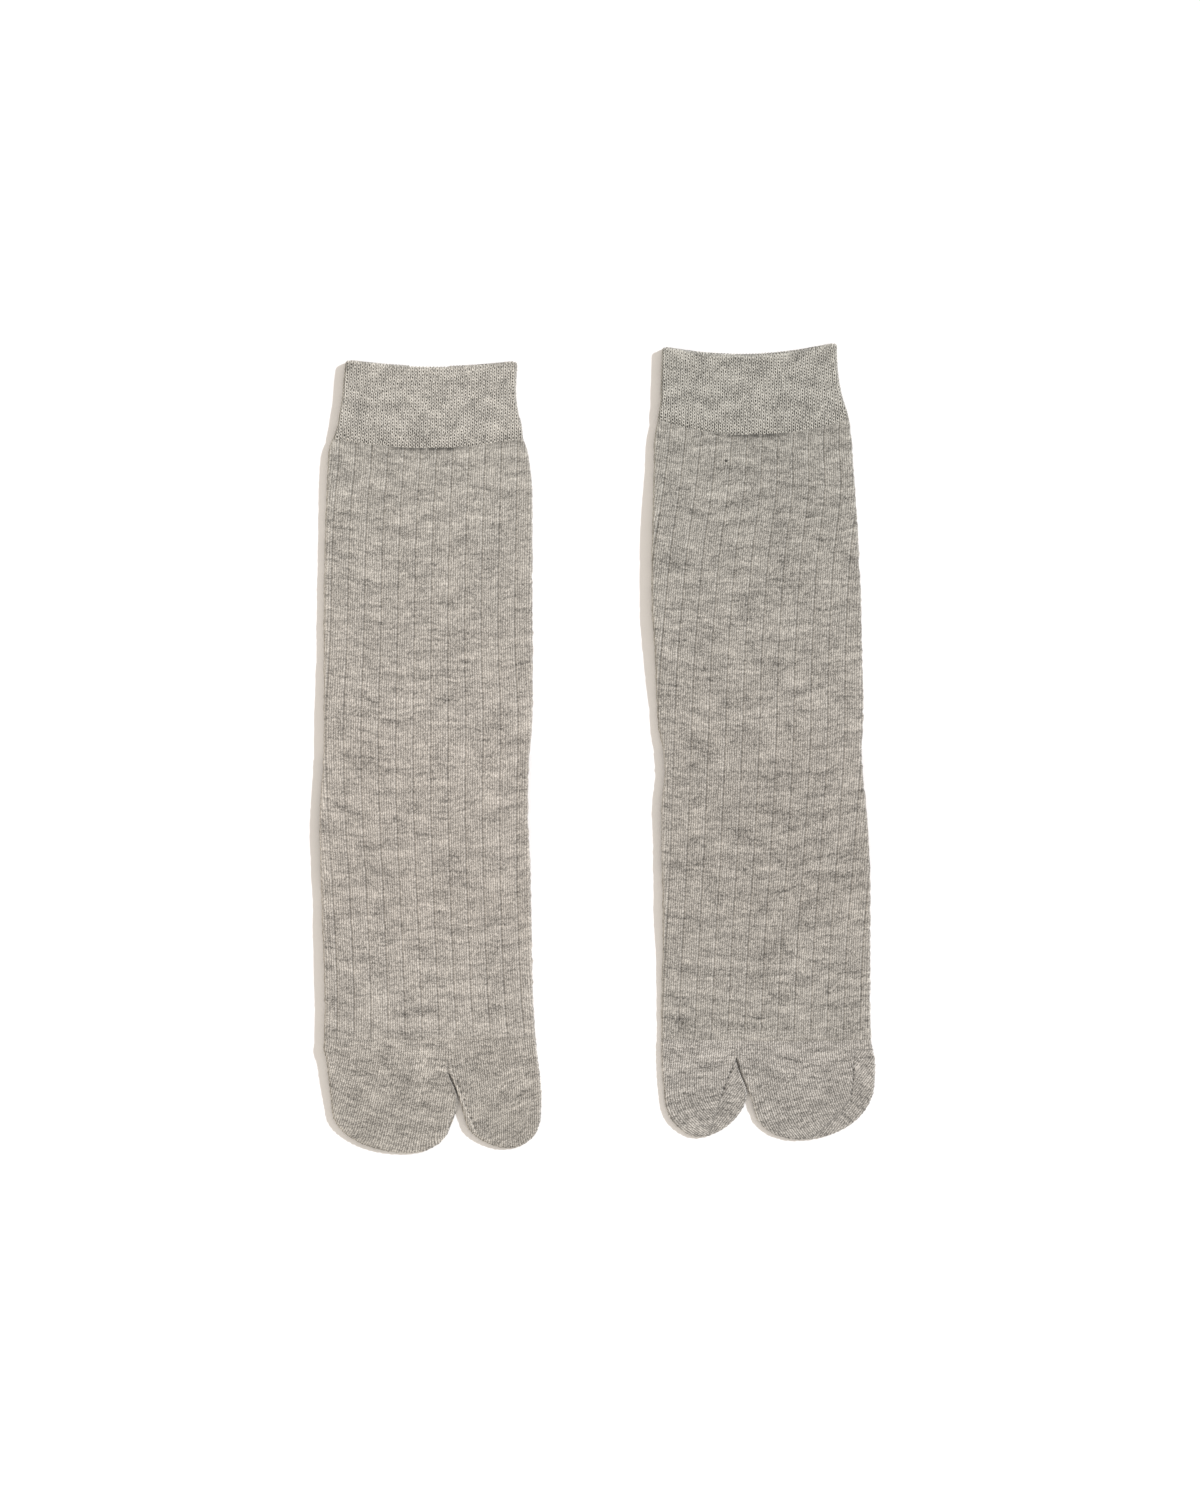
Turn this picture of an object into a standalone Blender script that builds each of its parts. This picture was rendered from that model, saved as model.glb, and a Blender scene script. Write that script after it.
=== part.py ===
"""A pair of knitted tabi socks laid flat, insteps up, cuffs towards +Y and toes towards -Y.

Metres, +Z up. The origin is on the surface that the socks lie on, under the middle of the pair.
Tables and driving dimensions are in millimetres. Each sock has its own frame, held by an empty: x
runs across the sock, and "down" is the distance from the cuff's top corners towards the toes.

Every stretch of a sock is a flattened tube: a back wall on the surface, a front wall on top of it,
a fold at each side and a narrow hollow between them. It is lofted through rings, one for each row.
"""

from collections import namedtuple
import math

import bmesh
import bpy
import numpy as np

MM = 0.001

# Cloth
BACK_WALL = 1.1  # leg, sole and toes, underneath
FRONT_WALL = 1.1  # leg and instep at the bottom of a groove
RIB_RISE = 0.4  # how far a rib's crown stands over the grooves beside it
SHOULDER_RISE = 0.3  # how far it stands at its shoulders
SHOULDER = 0.9  # from a groove to the shoulder beside it
PLAIN_RISE = 0.25  # plain knit of the toes over FRONT_WALL
SIDE_WALL = 1.25  # at the folds and round the toes
WELT_WALL = 1.7  # the cuff is two layers thick
HOLLOW = 0.5  # between front and back at the folds
HOLLOW_DOME = 0.3  # more than that in the middle
SEAM_GAP = 0.3

# Folds at the sides
FOLD = 1.6  # how far a fold's rounding reaches in
FOLD_STEPS = 3  # points on a fold, without its two ends
INNER_CHAMFER = 0.4
CLAMP_STEP = 0.25  # least distance between two points of a rib that meets a fold
RIB_FADE = 4.0  # grooves run out over this distance from a fold
SHARP_ANGLE = math.radians(50)

# Turned welt
RIM_ROUND = 0.7
RIM_INSET = 0.5

# Colours, linear
CUFF_COLOUR = (0.44, 0.41, 0.36)
LEG_COLOUR = (0.41, 0.38, 0.34)
TOE_COLOUR = (0.39, 0.36, 0.32)
YARN_ROUGHNESS = 0.95

# Heel pocket, folded flat under the sole
HEEL_THICKNESS = 1.8
HEEL_LIFT = HEEL_THICKNESS + SEAM_GAP  # what it raises the sole by
HEEL_FOLD = 0.9
HEEL_INSET = 1.5  # from the sock's own side folds
HEEL_ROUND = 2.4  # exponent of its rounded end
BACK_RAMP = 5.5  # the back wall rises and comes down over this length
FRONT_RAMP = 26.0  # and the front wall, which bridges it, over this one

Row = namedtuple("Row", "down left right")
Dip = namedtuple("Dip", "down front back tilt")
Rib = namedtuple("Rib", "down middle pitch")
Edge = namedtuple("Edge", "down across")
Pouch = namedtuple("Pouch", "outer split tip outer_round split_round segments")
Sock = namedtuple(
    "Sock", "place cuff leg dips ribs grooves gore heel_end toe_start plain apex pouches"
)

# The sock for the right foot lies at -X. Its big toe is on its own right.
RIGHT_SOCK = Sock(
    place=(-72.8, 166.4),
    cuff=(
        Row(0.0, -35.5, 38.5),
        Row(6.5, -36.3, 38.1),
        Row(16.8, -37.2, 38.1),
        Row(21.9, -38.1, 38.9),
        Row(27.1, -38.9, 40.2),
        Row(33.1, -40.9, 40.9),
    ),
    leg=(
        Row(33.1, -40.9, 40.9),
        Row(37.4, -42.6, 42.4),
        Row(42.6, -43.2, 43.6),
        Row(52.9, -43.6, 44.7),
        Row(72.7, -44.3, 44.9),
        Row(102.8, -44.9, 44.9),
        Row(132.9, -44.9, 45.1),
        Row(160.8, -44.9, 44.5),
        Row(170.3, -45.1, 43.6),
        Row(179.3, -45.6, 43.2),
        Row(197.4, -46.7, 43.2),
        Row(218.9, -46.2, 44.1),
        Row(236.1, -45.8, 44.5),
        Row(261.9, -44.9, 44.9),
        Row(279.9, -44.5, 45.4),
        Row(292.0, -44.9, 46.4),
    ),
    dips=(
        Dip(0.0, 3.0, 2.4, 0.0),
        Dip(16.8, 3.8, 3.0, 0.0),
        Dip(33.1, 4.6, 3.4, 0.0),
        Dip(52.9, 1.0, 0.8, 0.0),
        Dip(72.7, 0.0, 0.0, 0.0),
    ),
    ribs=(
        Rib(33.0, 3.6, 6.95),
        Rib(40.4, 3.4, 6.97),
        Rib(59.8, 2.4, 7.1),
        Rib(124.3, 1.1, 7.25),
        Rib(154.4, 1.1, 7.5),
        Rib(188.8, 1.1, 7.4),
        Rib(231.8, 2.4, 7.2),
        Rib(274.8, 4.1, 7.2),
        Rib(292.0, 4.8, 7.35),
    ),
    grooves=(-6, 5),
    gore=170.0,
    heel_end=220.0,
    toe_start=292.0,
    plain=(
        Row(292.0, -44.9, 46.4),
        Row(296.3, -45.1, 46.7),
        Row(299.7, -44.1, 47.1),
        Row(306.6, -43.2, 48.1),
    ),
    apex=Edge(306.6, 9.0),
    pouches=(
        Pouch(  # four toes
            outer=(Edge(306.6, -43.2), Edge(316.1, -42.1), Edge(321.9, -41.4)),
            split=(
                Edge(307.4, 9.3),
                Edge(311.8, 11.7),
                Edge(316.9, 12.6),
                Edge(322.1, 11.8),
                Edge(328.1, 9.2),
            ),
            tip=Edge(340.7, -8.4),
            outer_round=2.0,
            split_round=2.0,
            segments=6,
        ),
        Pouch(  # big toe
            outer=(Edge(306.6, 48.1), Edge(316.1, 48.8), Edge(322.9, 48.5)),
            split=(
                Edge(307.4, 9.7),
                Edge(311.8, 12.1),
                Edge(316.9, 13.3),
                Edge(322.1, 15.3),
                Edge(328.1, 17.0),
            ),
            tip=Edge(338.6, 33.5),
            outer_round=2.3,
            split_round=1.6,
            segments=4,
        ),
    ),
)

# The sock for the left foot lies at +X. Its big toe is on its own left.
LEFT_SOCK = Sock(
    place=(69.3, 173.2),
    cuff=(
        Row(0.0, -41.5, 33.8),
        Row(8.2, -41.7, 34.0),
        Row(18.5, -42.1, 35.3),
        Row(23.6, -42.1, 36.5),
        Row(28.8, -43.0, 38.3),
        Row(32.0, -43.4, 39.1),
    ),
    leg=(
        Row(32.0, -43.4, 39.1),
        Row(39.1, -44.7, 40.0),
        Row(53.8, -45.1, 41.1),
        Row(75.2, -45.6, 42.6),
        Row(92.5, -46.0, 43.4),
        Row(111.4, -46.0, 44.3),
        Row(132.0, -44.7, 44.7),
        Row(152.7, -43.9, 45.1),
        Row(164.7, -43.0, 44.9),
        Row(173.3, -41.3, 44.3),
        Row(181.9, -40.4, 44.7),
        Row(199.1, -41.7, 46.4),
        Row(217.2, -41.7, 47.7),
        Row(238.7, -41.3, 48.2),
        Row(264.4, -41.3, 48.2),
        Row(285.9, -41.7, 48.2),
        Row(299.0, -41.7, 48.6),
    ),
    dips=(
        Dip(0.0, 5.0, 3.9, 1.7),
        Dip(18.5, 5.8, 4.4, 1.2),
        Dip(32.0, 6.7, 4.6, 0.6),
        Dip(53.8, 1.6, 1.2, 0.0),
        Dip(75.2, 0.0, 0.0, 0.0),
    ),
    ribs=(
        Rib(32.0, 8.9, 6.6),
        Rib(40.9, 8.6, 6.7),
        Rib(58.0, 7.7, 6.9),
        Rib(92.5, 3.9, 7.05),
        Rib(109.6, 2.6, 7.1),
        Rib(131.2, 1.3, 7.2),
        Rib(174.2, 0.0, 7.3),
        Rib(217.2, -2.1, 7.15),
        Rib(260.1, -4.7, 7.05),
        Rib(299.0, -6.3, 7.1),
    ),
    grooves=(-6, 7),
    gore=174.0,
    heel_end=224.0,
    toe_start=299.0,
    plain=(
        Row(299.0, -41.7, 48.6),
        Row(302.3, -41.7, 49.2),
        Row(307.0, -41.7, 50.2),
    ),
    apex=Edge(307.0, -9.5),
    pouches=(
        Pouch(  # big toe
            outer=(Edge(307.0, -41.7), Edge(316.1, -41.1), Edge(322.9, -40.4)),
            split=(
                Edge(307.8, -9.5),
                Edge(311.0, -8.6),
                Edge(315.2, -7.0),
                Edge(318.6, -5.6),
                Edge(322.1, -4.9),
            ),
            tip=Edge(340.6, -24.7),
            outer_round=2.0,
            split_round=1.7,
            segments=4,
        ),
        Pouch(  # four toes
            outer=(Edge(307.0, 50.2), Edge(311.0, 50.3), Edge(316.1, 50.1)),
            split=(
                Edge(307.8, -9.1),
                Edge(311.0, -8.2),
                Edge(315.2, -6.5),
                Edge(318.6, -5.1),
                Edge(322.1, -3.9),
                Edge(328.5, -1.7),
            ),
            tip=Edge(341.7, 17.8),
            outer_round=2.0,
            split_round=2.0,
            segments=6,
        ),
    ),
)


def smooth(table, column, down):
    """A column's value at this station, on a cubic through the table's rows."""
    stations = np.array([row.down for row in table])
    values = np.array([getattr(row, column) for row in table])
    down = min(max(down, stations[0]), stations[-1])
    slopes = np.gradient(values, stations)
    i = min(int(np.searchsorted(stations, down, side="right")) - 1, len(stations) - 2)
    span = stations[i + 1] - stations[i]
    t = (down - stations[i]) / span
    rise = values[i + 1] - values[i]
    near = slopes[i] * span - rise
    far = rise - slopes[i + 1] * span
    return float(values[i] + t * rise + t * (1 - t) * ((1 - t) * near + t * far))


def ease(share):
    """0 to 1 with a soft start and end."""
    share = min(max(share, 0.0), 1.0)
    return share * share * (3 - 2 * share)


class Ring:
    """A closed ring of points in millimetres: back run, right fold, front run, left fold.

    A point's mark is its run's number plus its share of that run, so that two rings with different
    counts can be joined corner to corner.
    """

    def __init__(self, back, right_fold, front, left_fold):
        self.points = []
        self.marks = []
        for number, run in enumerate((back, right_fold, front, left_fold)):
            is_fold = number % 2
            for i, point in enumerate(run):
                share = (i + 1) / (len(run) + 1) if is_fold else i / (len(run) - 1)
                self.points.append(point)
                self.marks.append(number + share)


class Section:
    """Where a flattened tube's four surfaces lie at one station."""

    def __init__(self, down, left, right, heights, dip=Dip(0, 0, 0, 0)):
        self.down = down
        self.left = left
        self.right = right
        self.back_out, self.back_in, self.front_in, self.front_out = heights
        self.dip = dip

    def across(self, x):
        """-1 at the left fold, 1 at the right fold."""
        return (2 * x - self.left - self.right) / (self.right - self.left)

    def arch(self, x):
        return max(0.0, 1 - self.across(x) ** 2)

    def place(self, x, z, dip):
        down = self.down + dip * self.arch(x) - self.dip.tilt * self.across(x) / 2
        return (x, -down, z)

    def outer(self, back, front, fold=FOLD, shrink=1.0):
        """The outer ring. back is a list of x, and front a list of (x, rise), both from left to right.

        shrink under 1 draws the ring towards the middle of its height, for a closed end.
        """
        low = self.back_out
        high = self.front_out
        middle = (low + high) / 2

        def drawn(z):
            return middle + (z - middle) * shrink

        back_run = [self.place(x, drawn(low), self.dip.back) for x in back]
        front_run = [
            self.place(x, drawn(high + rise + HOLLOW_DOME * self.arch(x)), self.dip.front)
            for x, rise in reversed(front)
        ]
        right_fold = []
        left_fold = []
        half = (high - low) / 2
        for i in range(FOLD_STEPS):
            turn = math.pi * (i + 1) / (FOLD_STEPS + 1)
            reach = fold * (1 - math.sin(turn))
            right_fold.append(
                self.place(self.right - reach, drawn(middle - half * math.cos(turn)), 0)
            )
            left_fold.append(
                self.place(self.left + reach, drawn(middle + half * math.cos(turn)), 0)
            )
        return Ring(back_run, right_fold, front_run, left_fold)

    def inner(self, left, right, back, front):
        """The hollow's ring, between its own side walls at left and right. back and front are lists of x."""
        middle = (self.back_in + self.front_in) / 2
        back_run = [self.place(x, self.back_in, self.dip.back) for x in back]
        front_run = [
            self.place(x, self.front_in + HOLLOW_DOME * self.arch(x), self.dip.front)
            for x in reversed(front)
        ]
        return Ring(
            back_run,
            [self.place(right, middle, 0)],
            front_run,
            [self.place(left, middle, 0)],
        )


class Solid:
    """Collects rings into one closed mesh."""

    def __init__(self):
        self.mesh = bmesh.new()

    def ring(self, ring):
        return [self.mesh.verts.new([c * MM for c in point]) for point in ring.points]

    def face(self, *corners):
        self.mesh.faces.new(corners)

    def strip(self, upper, lower):
        """Quads between two rings of equal length."""
        for i in range(len(upper)):
            j = (i + 1) % len(upper)
            self.face(upper[i], upper[j], lower[j], lower[i])

    def loft(self, rings):
        made = [self.ring(ring) for ring in rings]
        for upper, lower in zip(made, made[1:]):
            self.strip(upper, lower)
        return made

    def rim(self, outer, outer_marks, inner, inner_marks):
        """The cut edge of a wall: triangles between its outer and its inner ring."""
        i = j = 0
        while i < len(outer) or j < len(inner):
            next_outer = outer_marks[i + 1] if i + 1 < len(outer) else 4.0
            next_inner = inner_marks[j + 1] if j + 1 < len(inner) else 4.0
            here = (outer[i % len(outer)], inner[j % len(inner)])
            if j >= len(inner) or (i < len(outer) and next_outer <= next_inner):
                self.face(here[0], outer[(i + 1) % len(outer)], here[1])
                i += 1
            else:
                self.face(here[0], inner[(j + 1) % len(inner)], here[1])
                j += 1

    def cap(self, ring):
        self.mesh.faces.new(ring)

    def finish(self, name, parent, colour):
        bmesh.ops.recalc_face_normals(self.mesh, faces=self.mesh.faces)
        data = bpy.data.meshes.new(name)
        self.mesh.to_mesh(data)
        self.mesh.free()
        data.shade_smooth()
        data.set_sharp_from_angle(angle=SHARP_ANGLE)
        obj = bpy.data.objects.new(name, data)
        bpy.context.scene.collection.objects.link(obj)
        obj.parent = parent
        data.materials.append(cloth(name + "_knit", colour))


def cloth(name, colour):
    material = bpy.data.materials.new(name)
    material.use_nodes = True
    shader = material.node_tree.nodes["Principled BSDF"]
    shader.inputs["Base Color"].default_value = (*colour, 1.0)
    shader.inputs["Roughness"].default_value = YARN_ROUGHNESS
    shader.inputs["Metallic"].default_value = 0.0
    return material


def evenly(start, end, segments):
    return [start + (end - start) * i / segments for i in range(segments + 1)]


def dip_at(sock, down):
    if down > sock.dips[-1].down:
        return Dip(down, 0, 0, 0)
    return Dip(down, *(smooth(sock.dips, column, down) for column in ("front", "back", "tilt")))


# ---- Cuff: a turned double welt, open at the top ----

CUFF_SEGMENTS = 10


def cuff_section(sock, down):
    left, right = (smooth(sock.cuff, side, down) for side in ("left", "right"))
    heights = np.cumsum([0, WELT_WALL, HOLLOW, WELT_WALL])
    return Section(down, left, right, heights, dip_at(sock, down))


def cuff_outer(section, inset=0.0):
    section.left += inset
    section.right -= inset
    section.back_out += inset
    section.front_out -= inset
    run = evenly(section.left + FOLD, section.right - FOLD, CUFF_SEGMENTS)
    return section.outer(run, [(x, 0.0) for x in run])


def cuff_inner(section):
    left = section.left + WELT_WALL
    right = section.right - WELT_WALL
    run = evenly(left + INNER_CHAMFER, right - INNER_CHAMFER, CUFF_SEGMENTS)
    return section.inner(left, right, run, run)


def make_cuff(sock, name, parent):
    stations = [row.down for row in sock.cuff]
    bottom = stations[-1] - SEAM_GAP
    outer_downs = [RIM_ROUND, *stations[1:-1], bottom]
    inner_downs = [RIM_ROUND / 2, *stations[1:-1:2], bottom]
    outer_rings = [cuff_outer(cuff_section(sock, 0.0), RIM_INSET)]
    outer_rings += [cuff_outer(cuff_section(sock, down)) for down in outer_downs]
    inner_rings = [cuff_inner(cuff_section(sock, down)) for down in inner_downs]
    solid = Solid()
    outer = solid.loft(outer_rings)
    inner = solid.loft(inner_rings)
    for end in (0, -1):
        solid.rim(outer[end], outer_rings[end].marks, inner[end], inner_rings[end].marks)
    solid.finish(name, parent, CUFF_COLOUR)


# ---- Leg and foot: one long ribbed tube, raised where the heel pocket lies under it ----

TUBE_BACK_SEGMENTS = 5
TUBE_INNER_SEGMENTS = 7
LEAST_ROW = 3.0  # a row of the table nearer than this to a station of the heel is left out


def lift(sock, down, rise_ends, ramp):
    """How far the heel pocket raises a wall that has risen by rise_ends and comes down past the pocket."""
    rise = ease((down - rise_ends + ramp) / ramp)
    fall = ease((down - sock.heel_end - SEAM_GAP) / ramp)
    return HEEL_LIFT * rise * (1 - fall)


def tube_section(sock, down):
    left, right = (smooth(sock.leg, side, down) for side in ("left", "right"))
    seam = sock.gore - SEAM_GAP  # the underside steps up here, from the surface onto the pocket
    back_lift = lift(sock, down, seam, BACK_RAMP)
    back_out = back_lift if down >= seam else 0.0
    front_in = lift(sock, down, seam - BACK_RAMP, FRONT_RAMP) + BACK_WALL + HOLLOW
    heights = (back_out, back_lift + BACK_WALL, front_in, front_in + FRONT_WALL + RIB_RISE)
    return Section(down, left, right, heights, dip_at(sock, down))


def ribbed_front(sock, section):
    """(x, rise) across the front: a groove, its two shoulders and the crown of the next rib, by turns.

    rise is counted down from a crown. Where the tube turns, ribs run into a fold: their points are
    kept clear of it and their grooves fade out.
    """
    middle, pitch = (smooth(sock.ribs, column, section.down) for column in ("middle", "pitch"))
    first, last = sock.grooves
    crest = [(middle + (first - 0.5) * pitch, 0.0)]
    for number in range(first, last + 1):
        groove = middle + number * pitch
        crest.append((groove - SHOULDER, SHOULDER_RISE - RIB_RISE))
        crest.append((groove, -RIB_RISE))
        crest.append((groove + SHOULDER, SHOULDER_RISE - RIB_RISE))
        crest.append((groove + pitch / 2, 0.0))
    low = section.left + FOLD + CLAMP_STEP
    high = section.right - FOLD - CLAMP_STEP
    count = len(crest)
    front = [(section.left + FOLD, 0.0)]
    for i, (x, rise) in enumerate(crest):
        x = max(x, low + i * CLAMP_STEP)
        x = min(x, high - (count - 1 - i) * CLAMP_STEP)
        front.append((x, rise * ease(min(x - low, high - x) / RIB_FADE)))
    front.append((section.right - FOLD, 0.0))
    return front


def tube_outer(sock, section):
    back = evenly(section.left + FOLD, section.right - FOLD, TUBE_BACK_SEGMENTS)
    return section.outer(back, ribbed_front(sock, section))


def tube_inner(section):
    left = section.left + SIDE_WALL
    right = section.right - SIDE_WALL
    run = evenly(left + INNER_CHAMFER, right - INNER_CHAMFER, TUBE_INNER_SEGMENTS)
    return section.inner(left, right, run, run)


def heel_stations(sock):
    """Stations where a wall starts or ends its rise onto the heel pocket, and half way."""
    seam = sock.gore - SEAM_GAP
    past = sock.heel_end + SEAM_GAP
    front_top = seam - BACK_RAMP
    return [
        front_top - FRONT_RAMP,
        front_top - FRONT_RAMP / 2,
        front_top,
        seam - BACK_RAMP / 2,
        seam - SEAM_GAP / 2,
        seam,
        past,
        past + BACK_RAMP / 2,
        past + BACK_RAMP,
        past + FRONT_RAMP / 2,
        past + FRONT_RAMP,
    ]


def make_leg_and_foot(sock, name, parent):
    stations = heel_stations(sock)
    rows = [row.down for row in sock.leg]
    rows[-1] -= SEAM_GAP
    rows = [row for row in rows if min(abs(row - other) for other in stations) > LEAST_ROW]
    downs = sorted(rows + stations)
    sections = [tube_section(sock, down) for down in downs]
    outer_rings = [tube_outer(sock, section) for section in sections]
    inner_rings = [tube_inner(section) for section in sections]
    solid = Solid()
    outer = solid.loft(outer_rings)
    inner = solid.loft(inner_rings)
    for end in (0, -1):
        solid.rim(outer[end], outer_rings[end].marks, inner[end], inner_rings[end].marks)
    solid.finish(name, parent, LEG_COLOUR)


# ---- Heel pocket: two layers folded flat under the sole, in one rounded solid ----

HEEL_SEGMENTS = 6
HEEL_ROWS = 8


def make_heel_pocket(sock, name, parent):
    heights = (0.0, HEEL_THICKNESS / 2, HEEL_THICKNESS / 2, HEEL_THICKNESS)
    length = sock.heel_end - sock.gore
    rings = []
    for i in range(HEEL_ROWS):
        share = math.sin(math.pi / 2 * i / HEEL_ROWS)
        down = sock.gore + length * share
        narrowing = (1 - share**HEEL_ROUND) ** (1 / HEEL_ROUND)
        left, right = (smooth(sock.leg, side, down) for side in ("left", "right"))
        middle = (left + right) / 2
        half = ((right - left) / 2 - HEEL_INSET) * narrowing
        section = Section(down, middle - half, middle + half, heights)
        run = evenly(section.left + HEEL_FOLD, section.right - HEEL_FOLD, HEEL_SEGMENTS)
        # The pocket's top stays level: this cancels the dome of an open tube.
        top = [(x, -HOLLOW_DOME * section.arch(x)) for x in run]
        rings.append(section.outer(run, top, HEEL_FOLD))
    solid = Solid()
    made = solid.loft(rings)
    solid.cap(made[0])
    solid.cap(made[-1])
    solid.finish(name, parent, LEG_COLOUR)


# ---- Toes: a plain stretch that parts into the big-toe pouch and the four-toe pouch ----

TOE_HEIGHTS = tuple(np.cumsum([0, BACK_WALL, HOLLOW, FRONT_WALL + PLAIN_RISE]))
POUCH_ROWS = 11
TIP_SHARE = 0.993  # the last row's place on the way to the tip
NARROWEST = 0.4  # a fold takes no more than this share of a pouch's width
INSET_SAMPLES = 12  # each way, for moving an outline in by the wall
HALVINGS = 30


def pouch_edge(edge, tip, roundness, down):
    """x of a pouch's edge: a curve through its table, then a rounded end that meets the tip."""
    last = edge[-1]
    if down <= last.down:
        return smooth(edge, "across", down)
    share = min((down - last.down) / (tip.down - last.down), 1.0)
    return tip.across + (last.across - tip.across) * (1 - share**roundness) ** (1 / roundness)


def pouch_sides(pouch, down):
    """(left, right) of a pouch's outline."""
    sides = (
        pouch_edge(pouch.outer, pouch.tip, pouch.outer_round, down),
        pouch_edge(pouch.split, pouch.tip, pouch.split_round, down),
    )
    return min(sides), max(sides)


def hollow_sides(sock, pouch, down):
    """(left, right) of the hollow in a pouch: its outline moved in by the wall, all round."""
    at = []
    for i in range(-INSET_SAMPLES, INSET_SAMPLES + 1):
        along = SIDE_WALL * i / INSET_SAMPLES
        in_by = math.sqrt(SIDE_WALL**2 - along**2)
        there = down + along
        if there >= sock.apex.down:
            left, right = pouch_sides(pouch, there)
            at.append((left + in_by, right - in_by))
    return max(left for left, _ in at), min(right for _, right in at)


def hollow_end(sock, pouch):
    """The station where the hollow's two sides meet."""
    near, far = sock.apex.down, pouch.tip.down
    for _ in range(HALVINGS):
        middle = (near + far) / 2
        left, right = hollow_sides(sock, pouch, middle)
        near, far = (middle, far) if right > left else (near, middle)
    return near


def parted_run(left, middle, right, segments):
    """x from left to right, with one point on the line where the pouches will part."""
    return evenly(left, middle, segments[0]) + evenly(middle, right, segments[1])[1:]


def plain_rings(sock, downs, segments, inside):
    """Rings of the stretch above the split."""
    rings = []
    for down in downs:
        left, right = (smooth(sock.plain, side, down) for side in ("left", "right"))
        section = Section(down, left, right, TOE_HEIGHTS)
        if inside:
            left += SIDE_WALL
            right -= SIDE_WALL
        reach = INNER_CHAMFER if inside else FOLD
        run = parted_run(left + reach, sock.apex.across, right - reach, segments)
        if inside:
            rings.append(section.inner(left, right, run, run))
        else:
            rings.append(section.outer(run, [(x, 0.0) for x in run]))
    return rings


def pouch_rings(sock, pouch, inside):
    """Rings of one pouch, from just below the split to its end."""
    start = pouch.split[0].down
    end = hollow_end(sock, pouch) if inside else pouch.tip.down
    rings = []
    for i in range(POUCH_ROWS):
        share = math.sin(math.pi / 2 * i / (POUCH_ROWS - 1)) * TIP_SHARE
        down = start + (end - start) * share
        if inside:
            left, right = hollow_sides(sock, pouch, down)
        else:
            left, right = pouch_sides(pouch, down)
        section = Section(down, left, right, TOE_HEIGHTS)
        room = (right - left) * NARROWEST
        if inside:
            reach = min(INNER_CHAMFER, room)
            run = evenly(left + reach, right - reach, pouch.segments)
            rings.append(section.inner(left, right, run, run))
        else:
            reach = min(FOLD, room)
            run = evenly(left + reach, right - reach, pouch.segments)
            depth = min((end - down) / FOLD, 1.0)
            shrink = math.sqrt(1 - (1 - depth) ** 2)
            rings.append(section.outer(run, [(x, 0.0) for x in run], reach, shrink))
    return rings


def toe_surface(solid, sock, inside):
    """The outer or the inner surface. It gives back its first ring and that ring's marks."""
    split_down = sock.apex.down - (SIDE_WALL if inside else 0)
    downs = [sock.toe_start, *(row.down for row in sock.plain[1:-1]), split_down]
    segments = [pouch.segments for pouch in sock.pouches]
    plain = plain_rings(sock, downs, segments, inside)
    made = solid.loft(plain)
    last = made[-1]

    # The split starts as one upright line of points, which both pouches share.
    fold = 1 if inside else FOLD_STEPS
    count = sum(segments)
    back = last[: count + 1]
    right_fold = last[count + 1 : count + 1 + fold]
    front = last[count + 1 + fold : 2 * count + 2 + fold]
    left_fold = last[2 * count + 2 + fold :]
    foot = back[segments[0]]
    head = front[segments[1]]
    web = [
        solid.mesh.verts.new(foot.co.lerp(head.co, (i + 1) / (fold + 1)))
        for i in range(fold)
    ]
    starts = (
        back[: segments[0] + 1] + web + front[segments[1] :] + left_fold,
        back[segments[0] :] + right_fold + front[: segments[1] + 1] + web[::-1],
    )
    for pouch, start in zip(sock.pouches, starts):
        rows = solid.loft(pouch_rings(sock, pouch, inside))
        solid.strip(start, rows[0])
        solid.cap(rows[-1])
    return made[0], plain[0].marks


def make_toe_pouches(sock, name, parent):
    solid = Solid()
    outer, outer_marks = toe_surface(solid, sock, inside=False)
    inner, inner_marks = toe_surface(solid, sock, inside=True)
    solid.rim(outer, outer_marks, inner, inner_marks)
    solid.finish(name, parent, TOE_COLOUR)


def make_sock(sock, side):
    place = bpy.data.objects.new(side + "_sock", None)
    place.location = (sock.place[0] * MM, sock.place[1] * MM, 0)
    bpy.context.scene.collection.objects.link(place)
    make_cuff(sock, side + "_cuff", place)
    make_leg_and_foot(sock, side + "_leg_and_foot", place)
    make_heel_pocket(sock, side + "_heel_pocket", place)
    make_toe_pouches(sock, side + "_toe_pouches", place)


def main():
    for obj in list(bpy.data.objects):
        bpy.data.objects.remove(obj, do_unlink=True)
    make_sock(RIGHT_SOCK, "right")
    make_sock(LEFT_SOCK, "left")


main()
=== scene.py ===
"""The looks of a pair of ribbed tabi socks, knitted in heather cotton and laid flat, insteps up.

Each sock is four thin shells: a mesh-knit cuff, a ribbed leg and foot, a plain-knit toe with its
big-toe pouch, and a heel pocket folded under the sole. Lengths in the tables are millimetres in the
sock's own frame: x runs across it and "down" is the distance from the cuff towards the toes.
"""

from collections import namedtuple
import math

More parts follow.
